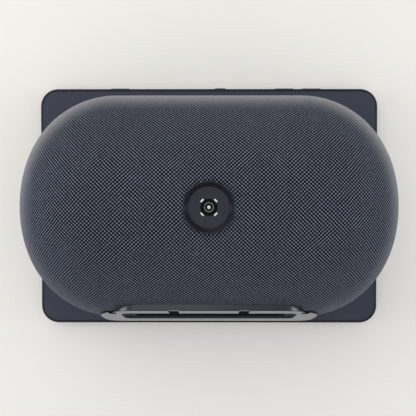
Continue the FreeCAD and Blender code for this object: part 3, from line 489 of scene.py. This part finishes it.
@dataclass(frozen=True)
class Knit:
    """Stretched open knit: diagonal yarns around a diamond lattice of small dark holes. Its colour
    carries painted light: painted shade in the holes, painted highlights on the yarn crests, and a
    painted sheen on grazing faces, strongest on those facing up.
    """

    yarn: Colour = (0.03, 0.033, 0.044)
    # painted highlight: pale bluish colour laid on the yarn crests
    painted_crest_highlight: Colour = (0.25, 0.266, 0.32)
    # painted shade: near black in the holes, the dark inside seen through them deepened into shade
    painted_hole_shade: Colour = (0.0004, 0.0004, 0.0006)
    # painted sheen: warm grey laid over faces seen edge on, more over those facing up
    painted_sheen: Colour = (0.36, 0.345, 0.32)
    pitch_across: float = 1.72 * MM
    pitch_up: float = 1.68 * MM
    fuzz: float = 0.05
    relief: float = 0.32 * MM

    def material(self, name: str) -> bpy.types.Material:
        """Builds the finish under a name and returns it; it reads the piece's own UV map in metres.

        Args:
            name: The material's name.

        Returns:
            The material.
        """
        tree = Tree(name)
        flat = tree.node("ShaderNodeUVMap", {"uv_map": FLAT_MAP}).outputs[0]
        across, up, _ = tree.split(flat)
        drift_a = tree.noise(110.0, 2.0, 0.5, flat) - 0.5
        drift_b = tree.noise(97.0, 2.0, 0.5, tree.join(up, across, 0.3)) - 0.5
        a = (across + drift_a * (0.55 * MM)) / self.pitch_across
        b = (up + drift_b * (0.55 * MM)) / self.pitch_up
        rising = ((a + b) * (2 * math.pi)).cosine()
        falling = ((a - b) * (2 * math.pi)).cosine()
        tension = (tree.noise(75.0, 1.0, 0.5, flat) - 0.5) * 1.1
        lattice = rising * (0.5 + tension) + falling * (0.5 - tension)
        stitch = tree.noise(1500.0, 1.0, 0.5, flat)
        fibre = tree.noise(5200.0, 2.0, 0.6, flat)
        uneven = tree.noise(420.0, 2.0, 0.5, flat)
        open_hole = (lattice + (uneven - 0.5) * 0.9).step(-0.05, 0.5)
        crest = (lattice + (stitch - 0.5) * 1.3).step(-0.1, -0.95)
        patch = tree.noise(30.0, 3.0, 0.5, flat)
        yarn = tree.mix(patch.step(0.3, 0.7), tint(self.yarn, 0.88), tint(self.yarn, 1.12))
        # painted highlight: the yarn crests turn pale, flecked by the fibre noise
        yarn = tree.mix(crest * (fibre * 1.1 + 0.2), yarn, self.painted_crest_highlight)
        # painted shade: the open holes turn near black
        weave = tree.mix(open_hole, yarn, self.painted_hole_shade)
        # painted sheen: faces seen edge on, more those facing up, are lightened towards the sheen colour
        facing = Value(tree, tree.node("ShaderNodeLayerWeight", None, [0.5]).outputs["Facing"])
        _, _, rise = tree.split(tree.node("ShaderNodeTexCoord").outputs["Normal"])
        painted_sheen = facing.step(0.5, 0.92) * (rise.step(-0.95, 0.6) * 0.6 + 0.12)
        tree.set(base_color=tree.mix(painted_sheen, weave, self.painted_sheen), roughness=0.9 - crest * 0.12,
                 sheen_weight=self.fuzz, sheen_roughness=0.42, sheen_tint=(0.8, 0.84, 1.0),
                 specular_ior_level=0.1)
        height = (1 - open_hole) * 0.7 + crest * 0.3 + fibre * 0.12
        tree.bump(height, self.relief, 0.9)
        return tree.material


@dataclass(frozen=True)
class HeadBack:
    """Painted rear cover of the head: satin slate, turning near black in a band round its edge; the band
    stands partly for the dark frame edge and partly for painted shade on the rounded edge.
    """

    colour: Colour = (0.046, 0.049, 0.065)
    # near black band colour: partly the dark frame edge, partly painted shade on the rounded edge
    dark_rim_and_shade: Colour = (0.005, 0.0055, 0.007)
    band_width: float = 2.6 * MM

    def material(self, name: str) -> bpy.types.Material:
        """Builds the finish under a name and returns it; the band is measured in the head's frame.

        Args:
            name: The material's name.

        Returns:
            The material.
        """
        tree = Tree(name)
        head = Head()
        turn, shift = head.to_local_mapping()
        across, _, up = tree.split(tree.place(turn=turn, shift=shift))
        half_width, half_height = head.width / 2, head.height / 2
        side = abs(across) - (half_width - head.corner)
        rise = abs(up - half_height) - (half_height - head.corner)
        outside = (side.higher(0.0) ** 2.0 + rise.higher(0.0) ** 2.0).root()
        inset = head.corner - (outside + side.higher(rise).lower(0.0))
        # painted shade: near black towards the outline, partly the dark frame edge and partly shade on
        # the rounded edge
        dark_rim_and_shade = inset.step(self.band_width, self.band_width * 0.4)
        grain = tree.noise(2400.0, 2.0)
        cloud = tree.noise(26.0, 4.0, 0.6)
        face = tree.mix(cloud.step(0.3, 0.7), tint(self.colour, 0.95), tint(self.colour, 1.05))
        tree.set(base_color=tree.mix(dark_rim_and_shade, face, self.dark_rim_and_shade),
                 roughness=cloud * 0.1 + grain * 0.06 + 0.44, specular_ior_level=0.16)
        tree.bump(grain, 0.016 * MM)
        return tree.material


@dataclass(frozen=True)
class ScreenGlass:
    """Front glass over a screen that is off: a black border, a faint grey-blue active area, a lens."""

    border: Colour = (0.0035, 0.0036, 0.004)
    active: Colour = (0.007, 0.0075, 0.009)
    active_width: float = 172.3 * MM
    active_height: float = 107.7 * MM

    def material(self, name: str) -> bpy.types.Material:
        """Builds the finish under a name and returns it.

        Args:
            name: The material's name.

        Returns:
            The material.
        """
        tree = Tree(name)
        head = Head()
        turn, shift = head.to_local_mapping()
        across, _, up = tree.split(tree.place(turn=turn, shift=shift))
        beyond_side = abs(across) - self.active_width / 2
        beyond_top = abs(up - head.screen_centre) - self.active_height / 2
        inside = beyond_side.higher(beyond_top).step(0.15 * MM, -0.15 * MM)
        radius = (across ** 2.0 + (up - head.camera_height) ** 2.0).root()
        ring = radius.step(2.9 * MM, 2.7 * MM) - radius.step(1.9 * MM, 1.7 * MM)
        smear = tree.noise(18.0, 5.0, 0.7)
        shade = tree.mix(inside, self.border, self.active)
        shade = tree.mix(ring.higher(0.0) * 0.8, shade, (0.02, 0.02, 0.024))
        tree.set(base_color=shade, roughness=smear.step(0.5, 0.85) * 0.06 + 0.04,
                 coat_weight=0.3, coat_roughness=0.03, specular_ior_level=0.55)
        return tree.material


# ---------------------------------------------------------------- the head's frame

FLAT_MAP = "cloth"
INLET = next(m for m in frame["record"]["mounts"] if m["name"] == "power_inlet_pin")
BACK = Vector(INLET["axis"]).normalized()
UP = Vector((0.0, -BACK.z, BACK.y))


@dataclass(frozen=True)
class Head:
    """Sizes of the display head and its own directions: across, back out of the screen, and up it."""

    width: float = 196.4 * MM
    height: float = 136.8 * MM
    depth: float = 7.0 * MM
    corner: float = 10.2 * MM
    glass_inset: float = 1.0 * MM
    glass_thickness: float = 1.1 * MM
    screen_centre: float = 66.6 * MM
    camera_height: float = 128.8 * MM
    axis_height: float = 68.7 * MM
    axis_depth: float = 26.5 * MM

    def origin(self) -> Vector:
        """Bottom middle of the front glass's plane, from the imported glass."""
        low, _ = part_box("cover_glass")
        y = low.y - self.glass_inset * UP.y
        z = low.z - self.glass_inset * UP.z - self.glass_thickness * BACK.z
        return Vector((0.0, y, z))

    def point(self, across: float, up: float, back: float) -> Vector:
        """A point given by its place across, up and behind the screen.

        Args:
            across: Distance along X.
            up: Distance up the screen.
            back: Distance behind the front glass.

        Returns:
            The point in the row frame.
        """
        return self.origin() + Vector((across, 0.0, 0.0)) + UP * up + BACK * back

    def pill_axis(self) -> Vector:
        """Middle of the speaker body's axis."""
        return self.point(0.0, self.axis_height, self.axis_depth)

    def to_row(self, origin: Vector) -> Matrix:
        """Matrix from local (across, up, back), counted from origin, to the row frame.

        Args:
            origin: Origin of the local frame.

        Returns:
            The matrix.
        """
        turn = Matrix((Vector((-1, 0, 0)), UP, BACK)).transposed().to_4x4()
        return Matrix.Translation(origin) @ turn

    def to_local_mapping(self) -> tuple[tuple[float, float, float], Vector]:
        """Turn and shift of a Mapping node that gives (across, back, up) from the row frame."""
        lean = math.atan2(UP.y, UP.z)
        turned = Matrix.Rotation(lean, 3, "X") @ self.origin()
        return (lean, 0.0, 0.0), -turned


# ---------------------------------------------------------------- mesh tools

class Pen:
    """Draws a chain of edges in a bmesh with extrude and spin operators."""

    def __init__(self, bm: bmesh.types.BMesh, start: Vector) -> None:
        """Starts the chain at a point."""
        self.bm = bm
        self.tip = bmesh.ops.create_vert(bm, co=start)["vert"][0]

    def line(self, to: Vector, steps: int = 1) -> "Pen":
        """Goes straight to a point in even steps.

        Args:
            to: Where the line ends.
            steps: Number of edges.

        Returns:
            The pen itself.
        """
        move = (to - self.tip.co) / steps
        for _ in range(steps):
            made = bmesh.ops.extrude_vert_indiv(self.bm, verts=[self.tip])
            self.tip = made["verts"][0]
            bmesh.ops.translate(self.bm, verts=[self.tip], vec=move)
        return self

    def arc(self, centre: Vector, angle: float, steps: int, axis: Vector = Vector((0, 0, 1))) -> "Pen":
        """Turns about a centre by an angle in radians.

        Args:
            centre: Middle of the arc.
            angle: How far it turns.
            steps: Number of edges.
            axis: Direction it turns about.

        Returns:
            The pen itself.
        """
        made = bmesh.ops.spin(self.bm, geom=[self.tip], cent=centre, axis=axis, angle=angle,
                              steps=steps, use_merge=False, use_normal_flip=False, use_duplicate=False)
        self.tip = next(item for item in made["geom_last"] if isinstance(item, bmesh.types.BMVert))
        return self


def finish_mesh(name: str, bm: bmesh.types.BMesh, material: bpy.types.Material,
                body: str = HOUSING, smooth: float | None = 35.0) -> bpy.types.Object:
    """Turns a bmesh into a finished piece that rides on a body.

    Args:
        name: The piece's name.
        bm: Its mesh, in the row frame; it is freed.
        material: Its finish.
        body: The CAD body that it rides on.
        smooth: Angle in degrees above which an edge stays sharp, or None for no sharp edges.

    Returns:
        The piece.
    """
    mesh = bpy.data.meshes.new(name)
    bm.to_mesh(mesh)
    bm.free()
    mesh.shade_smooth()
    if smooth is not None:
        mesh.set_sharp_from_angle(angle=math.radians(smooth))
    piece = bpy.data.objects.new(name, mesh)
    bpy.context.scene.collection.objects.link(piece)
    mesh.materials.append(material)
    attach(piece, body)
    return piece


def lathe(bm: bmesh.types.BMesh, steps: int, axis: Vector = Vector((0, 0, 1))) -> None:
    """Spins everything drawn so far a full turn about an axis through the origin.

    Args:
        bm: The mesh.
        steps: Steps of the full turn.
        axis: Direction of the axis.
    """
    bmesh.ops.spin(bm, geom=bm.verts[:] + bm.edges[:], cent=(0, 0, 0), axis=axis,
                   angle=2 * math.pi, steps=steps, use_merge=True, use_normal_flip=False,
                   use_duplicate=False)
    bmesh.ops.remove_doubles(bm, verts=bm.verts[:], dist=1e-6)
    bmesh.ops.dissolve_degenerate(bm, edges=bm.edges[:], dist=1e-7)
    bmesh.ops.recalc_face_normals(bm, faces=bm.faces[:])


# ---------------------------------------------------------------- sub-assemblies

@dataclass(frozen=True)
class FootOutline:
    """Plan outline of the foot's boss: a bar with large rear corners and smaller front corners."""

    half_length: float
    half_depth: float
    rear_corner: float
    front_corner: float

    @classmethod
    def boss(cls, margin: float) -> "FootOutline":
        """The boss's outline, grown by a margin.

        Args:
            margin: How far outside the boss it runs.

        Returns:
            The outline.
        """
        return cls(49.0 * MM + margin, 18.0 * MM + margin, 18.0 * MM + margin, 9.0 * MM + margin)

    def _corner(self, point: Vector) -> tuple[Vector, float]:
        """The corner circle of the quarter that a point is in: its middle and radius."""
        radius = self.rear_corner if point.y > 0 else self.front_corner
        x = math.copysign(self.half_length - radius, point.x)
        y = math.copysign(self.half_depth - radius, point.y)
        return Vector((x, y, 0)), radius

    def distance(self, point: Vector) -> float:
        """How far a point lies outside the outline in plan; negative inside.

        Args:
            point: The point; its height is ignored.

        Returns:
            The distance in metres.
        """
        middle, radius = self._corner(point)
        side, deep = abs(point.x) - abs(middle.x), abs(point.y) - abs(middle.y)
        return math.hypot(max(side, 0.0), max(deep, 0.0)) + min(max(side, deep), 0.0) - radius

    def nearest(self, point: Vector) -> Vector:
        """The outline's nearest place to a point near it, at height 0.

        Args:
            point: The point; its height is ignored.

        Returns:
            The place on the outline.
        """
        middle, radius = self._corner(point)
        side, deep = abs(point.x) - abs(middle.x), abs(point.y) - abs(middle.y)
        if side > 0 and deep > 0:
            arm = Vector((point.x - middle.x, point.y - middle.y, 0)).normalized()
            return middle + arm * radius
        if deep > side:
            return Vector((point.x, math.copysign(self.half_depth, point.y), 0))
        return Vector((math.copysign(self.half_length, point.x), point.y, 0))


@dataclass
class FabricSleeve:
    """Knitted sleeve stretched over the pill, open at the head, the foot and the power inlet.

    underside is the share of the radius below which the foot's opening is looked for, and snap_reach is
    how far from an opening an edge is drawn onto it. cut_wrap, a rough allowance for the cloth on each
    side of the back's middle, larger than the angle that the sleeve covers, is not used.
    """

    head: Head
    radius: float = 58.3 * MM
    half_length: float = 96.9 * MM
    shoulder: float = 47.7 * MM
    cap_angle: float = math.radians(22.0)
    thickness: float = 0.95 * MM
    front_gap: float = 0.12 * MM
    floor_level: float = 1.38 * MM
    inlet_radius: float = 11.25 * MM
    stitch_steps: int = 250
    underside: float = 0.8
    foot_clearance: float = 0.2 * MM
    snap_reach: float = 2.5 * MM
    cut_wrap: float = math.radians(117)
    finish: Knit = field(default_factory=Knit)

    def flank(self) -> float:
        """Half length of the pill's straight part."""
        rise = self.radius - self.shoulder
        cap = self.shoulder + rise / math.sin(self.cap_angle)
        return self.half_length - cap + rise / math.tan(self.cap_angle)

    def draw_profile(self, bm: bmesh.types.BMesh) -> None:
        """Draws one side's curve from tip to tip, from the end caps over the shoulders.

        Args:
            bm: The mesh to draw in.
        """
        rise = self.radius - self.shoulder
        cap = self.shoulder + rise / math.sin(self.cap_angle)
        centre, flank = self.half_length - cap, self.flank()
        pen = Pen(bm, Vector((self.half_length, 0, 0)))
        pen.arc(Vector((centre, 0, 0)), self.cap_angle, 20)
        pen.arc(Vector((flank, rise, 0)), math.pi / 2 - self.cap_angle, 40)
        pen.line(Vector((-flank, self.radius, 0)), 66)
        pen.arc(Vector((-flank, rise, 0)), math.pi / 2 - self.cap_angle, 40)
        pen.arc(Vector((-centre, 0, 0)), self.cap_angle, 20)

    def unrolled(self, point: Vector) -> tuple[float, float]:
        """Where a point of the stretched cloth lies on the flat cloth, in metres.

        Args:
            point: A point in the pill's own frame, +Z to the back.

        Returns:
            Its place across and up the cloth, counted from the middle of the back.
        """
        flank = self.flank()
        spine = max(-flank, min(flank, point.x))
        arm = point - Vector((spine, 0, 0))
        sideways = math.hypot(arm.x, arm.y)
        if sideways < 1e-9:
            return spine, 0.0
        run = arm.length * math.atan2(sideways, arm.z)
        return spine + run * arm.x / sideways, run * arm.y / sideways

    def open_foot(self, bm: bmesh.types.BMesh) -> None:
        """Cuts the opening for the foot and draws its edge onto the boss's outline.

        Args:
            bm: The sleeve's mesh, in the pill's frame.
        """
        outline = FootOutline.boss(self.foot_clearance)
        level_limit = -self.radius * self.underside
        to_level = self.head.to_row(Vector())
        back_to_pill = to_level.inverted()
        low = [vert for vert in bm.verts if (to_level @ vert.co).z < level_limit]
        inner = {vert for vert in low if outline.distance(to_level @ vert.co) < 0}
        gone = [face for face in bm.faces if all(vert in inner for vert in face.verts)]
        bmesh.ops.delete(bm, geom=gone, context="FACES")
        for vert in {vert for edge in bm.edges if edge.is_boundary for vert in edge.verts}:
            level = to_level @ vert.co
            if level.z > level_limit or abs(outline.distance(level)) > self.snap_reach:
                continue
            rim = outline.nearest(level)
            drop = math.sqrt(max(self.radius_at(rim.x) ** 2 - rim.y ** 2, 0.0))
            vert.co = back_to_pill @ Vector((rim.x, rim.y, -drop))

    def radius_at(self, across: float) -> float:
        """The pill's radius at a distance along its axis, on its flank or shoulder.

        Args:
            across: Distance from the pill's middle.

        Returns:
            The radius.
        """
        over = max(abs(across) - self.flank(), 0.0)
        return self.radius - self.shoulder + math.sqrt(max(self.shoulder ** 2 - over ** 2, 0.0))

    def open_inlet(self, bm: bmesh.types.BMesh) -> None:
        """Cuts the round opening for the power inlet and draws its edge onto a circle.

        Args:
            bm: The sleeve's mesh, in the pill's frame.
        """
        inner = {vert for vert in bm.verts
                 if vert.co.z > 0 and math.hypot(vert.co.x, vert.co.y) < self.inlet_radius}
        gone = [face for face in bm.faces if all(vert in inner for vert in face.verts)]
        bmesh.ops.delete(bm, geom=gone, context="FACES")
        for vert in {vert for edge in bm.edges if edge.is_boundary for vert in edge.verts}:
            off = math.hypot(vert.co.x, vert.co.y)
            if vert.co.z > 0 and off < self.inlet_radius + self.snap_reach:
                x, y = vert.co.x * self.inlet_radius / off, vert.co.y * self.inlet_radius / off
                vert.co = Vector((x, y, math.sqrt(self.radius ** 2 - y ** 2)))

    def build(self) -> bpy.types.Object:
        """Builds the sleeve in place of its plain CAD skin.

        Returns:
            The finished piece.
        """
        bm = bmesh.new()
        self.draw_profile(bm)
        lathe(bm, self.stitch_steps, Vector((1, 0, 0)))
        front = self.head.depth + self.front_gap - self.head.axis_depth
        bmesh.ops.bisect_plane(bm, geom=bm.verts[:] + bm.edges[:] + bm.faces[:], dist=1e-6,
                               plane_co=(0, 0, front), plane_no=(0, 0, 1), clear_inner=True)
        self.open_foot(bm)
        self.open_inlet(bm)
        self.lay_flat(bm)
        self.press_on_foot(bm)
        bmesh.ops.delete(bm, geom=[v for v in bm.verts if not v.link_faces], context="VERTS")
        bmesh.ops.recalc_face_normals(bm, faces=bm.faces[:])
        bmesh.ops.transform(bm, matrix=self.head.to_row(self.head.pill_axis()), verts=bm.verts[:])
        area = sum(face.calc_area() for face in bm.faces)
        piece = finish_mesh("fabric_sleeve", bm, self.finish.material("charcoal_knit"),
                            smooth=None)
        wall = piece.modifiers.new("cloth thickness", "SOLIDIFY")
        wall.thickness, wall.offset = self.thickness, -1.0
        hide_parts("fabric_cover")
        LOG.info("the sleeve's cloth has %.4f square metres", area)
        return piece

    def lay_flat(self, bm: bmesh.types.BMesh) -> None:
        """Writes each corner's place on the flat cloth into the UV map.

        Args:
            bm: The sleeve's mesh, in the pill's frame.
        """
        layer = bm.loops.layers.uv.new(FLAT_MAP)
        for face in bm.faces:
            for loop in face.loops:
                loop[layer].uv = self.unrolled(loop.vert.co)

    def press_on_foot(self, bm: bmesh.types.BMesh) -> None:
        """Flattens the cloth where the foot's pad presses up against it.

        Args:
            bm: The sleeve's mesh, in the pill's frame.
        """
        to_level = self.head.to_row(self.head.pill_axis())
        back_to_pill = to_level.inverted()
        for vert in bm.verts:
            place = to_level @ vert.co
            if place.z < self.floor_level:
                vert.co = back_to_pill @ Vector((place.x, place.y, self.floor_level))


@dataclass
class PowerInlet:
    """Round recess in the middle of the back: a rolled lip, a tapered wall and a flat floor."""

    head: Head
    body_radius: float = 58.3 * MM
    outer: float = 11.18 * MM
    mouth: float = 10.8 * MM
    disc: float = 8.9 * MM
    bore: float = 3.62 * MM
    depth: float = 3.6 * MM
    floor: float = 1.55 * MM
    proud: float = 0.15 * MM
    lip: float = 0.32 * MM
    turns: int = 96

    def build(self, plastic: bpy.types.Material) -> bpy.types.Object:
        """Builds the cup in place of its plain CAD solid.

        Args:
            plastic: Its finish.

        Returns:
            The finished piece.
        """
        mouth = self.body_radius + self.proud
        seat, back = mouth - self.depth, mouth - self.depth - self.floor
        lip = self.lip
        bm = bmesh.new()
        pen = Pen(bm, Vector((self.bore, 0, back)))
        pen.line(Vector((self.outer, 0, back)), 3)
        pen.line(Vector((self.outer, 0, mouth - lip)), 3)
        pen.arc(Vector((self.outer - lip, 0, mouth - lip)), math.pi / 2, 6, Vector((0, -1, 0)))
        pen.line(Vector((self.mouth + lip * 0.6, 0, mouth)))
        pen.line(Vector((self.mouth + lip * 0.15, 0, mouth - lip * 0.2)))
        pen.line(Vector((self.mouth - 0.1 * MM, 0, mouth - lip)))
        pen.line(Vector((self.disc + 0.35 * MM, 0, seat + 0.7 * MM)), 4)
        pen.line(Vector((self.disc + 0.12 * MM, 0, seat + 0.28 * MM)))
        pen.line(Vector((self.disc, 0, seat + 0.02 * MM)))
        pen.line(Vector((self.disc - 0.18 * MM, 0, seat)))
        pen.line(Vector((self.bore + 0.15 * MM, 0, seat)), 5)
        pen.line(Vector((self.bore, 0, seat - 0.15 * MM)))
        pen.line(Vector((self.bore, 0, back)))
        lathe(bm, self.turns)
        bmesh.ops.transform(bm, matrix=self.head.to_row(self.head.pill_axis()), verts=bm.verts[:])
        piece = finish_mesh("inlet_recess", bm, plastic)
        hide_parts("inlet_cup")
        return piece


@dataclass(frozen=True)
class SoftEdges:
    """A hard edged CAD node, rebuilt with rounded edges."""

    node: str
    slot: str
    body: str = HOUSING
    radius: float = 0.3 * MM
    segments: int = 3
    flat_angle: float = math.radians(0.5)
    sharp_angle: float = math.radians(40)

    def build(self, material: bpy.types.Material) -> bpy.types.Object:
        """Copies the node's mesh, joins its faces and rounds its edges.

        Args:
            material: The piece's finish.

        Returns:
            The finished piece.
        """
        bm = bmesh.new()
        bm.from_mesh(frame["nodes"][self.node].data)
        bmesh.ops.remove_doubles(bm, verts=bm.verts[:], dist=1e-6)
        bmesh.ops.dissolve_limit(bm, angle_limit=self.flat_angle, verts=bm.verts[:],
                                 edges=bm.edges[:])
        piece = finish_mesh("soft_" + self.node, bm, material, self.body)
        edge = piece.modifiers.new("rounded edges", "BEVEL")
        edge.width, edge.segments = self.radius, self.segments
        edge.limit_method, edge.angle_limit = "ANGLE", self.sharp_angle
        edge.harden_normals = True
        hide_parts(self.node)
        return piece


# ---------------------------------------------------------------- studio

@dataclass(frozen=True)
class Light:
    """A soft rectangular lamp, placed in the head's frame."""

    name: str
    across: float
    up: float
    back: float
    size: float
    power: float
    colour: Colour = (1.0, 1.0, 1.0)

    def build(self, head: Head) -> None:
        """Makes the lamp and points it at the speaker body.

        Args:
            head: Gives the frame that the lamp is placed in.
        """
        data = bpy.data.lights.new(self.name, "AREA")
        data.shape, data.size, data.energy, data.color = "SQUARE", self.size, self.power, self.colour
        lamp = bpy.data.objects.new(self.name, data)
        lamp.location = head.point(self.across, self.up, self.back)
        target = head.point(0.0, head.height / 2, head.axis_depth)
        lamp.rotation_euler = (lamp.location - target).to_track_quat("Z", "Y").to_euler()
        bpy.context.scene.collection.objects.link(lamp)


@dataclass
class Studio:
    """Pale table and floor, soft lamps and the camera behind the object."""

    head: Head
    tone: Colour = (0.86, 0.806, 0.718)
    sky: Colour = (0.88, 0.92, 1.0)
    sky_strength: float = 0.84
    reach: float = 3.0
    floor_drop: float = 0.02 * MM
    table_gap: float = 0.1 * MM
    eye: tuple[float, float, float] = (-0.14 * MM, 71.4 * MM, 285.0 * MM)
    target: tuple[float, float, float] = (0.6 * MM, 67.25 * MM, 0.0)
    lens: float = 41.3

    def surface(self) -> bpy.types.Material:
        """Pale matt surface that is seen from its front only."""
        tree = Tree("pale_surface")
        cloud = tree.noise(6.0, 3.0)
        fine = tree.noise(900.0, 2.0)
        shade = tree.mix(cloud.step(0.3, 0.7), tint(self.tone, 0.985), self.tone)
        tree.set(base_color=shade, roughness=fine * 0.1 + 0.6, specular_ior_level=0.2)
        side = tree.node("ShaderNodeNewGeometry").outputs["Backfacing"]
        clear = tree.node("ShaderNodeBsdfTransparent").outputs[0]
        both = tree.node("ShaderNodeMixShader", None, [side, tree.shader.outputs[0], clear])
        tree.links.new(both.outputs[0], tree.output.inputs["Surface"])
        return tree.material

    def plane(self, name: str, centre: Vector, normal: Vector) -> None:
        """Adds one flat surface that only the camera sees, so that it blocks no light.

        Args:
            name: The surface's name.
            centre: Its middle.
            normal: Direction that it faces.
        """
        bm = bmesh.new()
        bmesh.ops.create_grid(bm, x_segments=1, y_segments=1, size=self.reach)
        bmesh.ops.transform(bm, matrix=normal.to_track_quat("Z", "Y").to_matrix().to_4x4(),
                            verts=bm.verts[:])
        bmesh.ops.translate(bm, verts=bm.verts[:], vec=centre)
        mesh = bpy.data.meshes.new(name)
        bm.to_mesh(mesh)
        bm.free()
        mesh.materials.append(self.surface())
        sheet = bpy.data.objects.new(name, mesh)
        bpy.context.scene.collection.objects.link(sheet)
        sheet.visible_diffuse = sheet.visible_glossy = sheet.visible_shadow = False

    def build(self) -> None:
        """Makes the surfaces, the world, the lamps and the camera."""
        head = self.head
        self.plane("floor", Vector((0, 0, -self.floor_drop)), Vector((0, 0, 1)))
        self.plane("table", head.point(0, head.height / 2, -self.table_gap), BACK)
        world = bpy.data.worlds.new("studio")
        world.use_nodes = True
        sky = world.node_tree.nodes["Background"]
        sky.inputs["Color"].default_value = (*self.sky, 1.0)
        sky.inputs["Strength"].default_value = self.sky_strength
        bpy.context.scene.world = world
        for light in LIGHTS:
            light.build(head)
        self.camera()
        bpy.context.scene.view_settings.view_transform = "Standard"

    def camera(self) -> None:
        """Places the camera behind the back, with the top of the screen up."""
        data = bpy.data.cameras.new("camera")
        data.lens, data.sensor_width = self.lens, 36.0
        data.clip_start = 0.01
        camera = bpy.data.objects.new("camera", data)
        eye = self.head.point(*self.eye)
        ahead = (self.head.point(*self.target) - eye).normalized()
        right = ahead.cross(UP).normalized()
        turn = Matrix((right, right.cross(ahead), -ahead)).transposed().to_4x4()
        camera.matrix_world = Matrix.Translation(eye) @ turn
        bpy.context.scene.collection.objects.link(camera)
        bpy.context.scene.camera = camera


LIGHTS = (
    Light("key", 0.3, 0.75, 0.6, 0.9, 2.5, (1.0, 0.985, 0.955)),
    Light("left_window", 0.75, 0.1, 0.25, 0.3, 1.9, (0.84, 0.91, 1.0)),
    Light("right_window", -0.75, 0.1, 0.25, 0.3, 1.7, (0.84, 0.91, 1.0)),
    Light("low_window", 0.1, -0.6, 0.5, 0.8, 0.2, (0.97, 0.98, 1.0)),
)


# ---------------------------------------------------------------- finishes of this object

def dress_cad_nodes() -> None:
    """Gives every carried over CAD node its finish, by the record's material slot."""
    finishes = {name: finish.material(name) for name, finish in SLOT_FINISHES.items()}
    for part in frame["record"]["subparts"]:
        node = frame["nodes"][part["node"]]
        node.data.materials.clear()
        own = NODE_FINISHES.get(part["node"])
        node.data.materials.append(own.material(part["node"]) if own else finishes[part["material_slot"]])


SLOT_FINISHES = {
    "front_glass": ScreenGlass(),
    "slate_plastic": HeadBack(),
    "key_plastic": Plastic((0.06, 0.064, 0.08), 0.45),
    "gasket": Rubber((0.012, 0.012, 0.012), (0.03, 0.03, 0.03)),
    "screen_layers": Plastic((0.01, 0.01, 0.012), 0.2, patchiness=0.2),
    "lamp_tray": Metal((0.6, 0.6, 0.61), 0.35),
    "black_plastic": Plastic((0.012, 0.012, 0.013), 0.5),
    "lens_glass": Plastic((0.006, 0.006, 0.012), 0.12),
    "blackened_steel": Metal((0.03, 0.03, 0.032), 0.4),
    "circuit_board": Board(),
    "steel": Metal((0.62, 0.62, 0.61), 0.26),
    "knit_fabric": Plastic((0.05, 0.054, 0.066), 0.9),
    "shell_plastic": Plastic((0.02, 0.021, 0.024), 0.6),
    "aluminium": Metal((0.68, 0.69, 0.7), 0.32),
    "antenna_foil": Metal((0.7, 0.5, 0.25), 0.3),
    "ribbon": Plastic((0.3, 0.13, 0.03), 0.35),
    "speaker_steel": Metal((0.05, 0.05, 0.055), 0.45, Lay.CAST),
    "magnet": Metal((0.14, 0.14, 0.15), 0.5, Lay.CAST),
    "cone_paper": Plastic((0.018, 0.018, 0.019), 0.8, 900.0, 0.06 * MM),
    "surround_rubber": Rubber((0.012, 0.012, 0.012), (0.04, 0.04, 0.04)),
    "radiator_plate": Metal((0.06, 0.06, 0.065), 0.45, Lay.TURNED),
    "satin_plastic": Plastic((0.009, 0.0105, 0.017), 0.22, 3000.0, 0.005 * MM),
    "nickel": Metal((0.83, 0.79, 0.7), 0.2, Lay.TURNED),
    # painted shade: the foot pad's walls take the dark side colour, its downward face keeps the grey
    "foot_rubber": Rubber((0.29, 0.28, 0.25), (0.36, 0.35, 0.32), side=(0.028, 0.03, 0.036)),
}


NODE_FINISHES = {
    "jack_sleeve": Metal((0.3, 0.275, 0.22), 0.34, Lay.TURNED),
    "jack_clips": Metal((0.9, 0.9, 0.88), 0.3),
}


SOFT_PIECES = (
    SoftEdges("base_plate", "satin_plastic", radius=0.35 * MM),
    SoftEdges("foot_pad", "foot_rubber", radius=0.15 * MM),
    SoftEdges("cover_glass", "front_glass", radius=0.25 * MM),
    SoftEdges("display_frame", "slate_plastic", radius=0.15 * MM),
    SoftEdges("volume_down_button", "key_plastic", "volume_down", 0.25 * MM),
    SoftEdges("volume_up_button", "key_plastic", "volume_up", 0.25 * MM),
    SoftEdges("mute_button", "key_plastic", "mute", 0.25 * MM),
    SoftEdges("shutter_knob", "key_plastic", "shutter", 0.15 * MM),
)


def main() -> None:
    """Builds every piece in order and reports it."""
    logging.basicConfig(level=logging.INFO, format="%(name)s: %(message)s")
    head = Head()
    Studio(head).build()
    dress_cad_nodes()
    satin = SLOT_FINISHES["satin_plastic"].material("satin_black")
    pieces = [FabricSleeve(head).build(), PowerInlet(head).build(satin)]
    for soft in SOFT_PIECES:
        material = satin if soft.slot == "satin_plastic" else SLOT_FINISHES[soft.slot].material(soft.node)
        pieces.append(soft.build(material))
    for piece in pieces:
        LOG.info("built %s with %d faces", piece.name, len(piece.data.polygons))


if __name__ == "__main__":
    main()
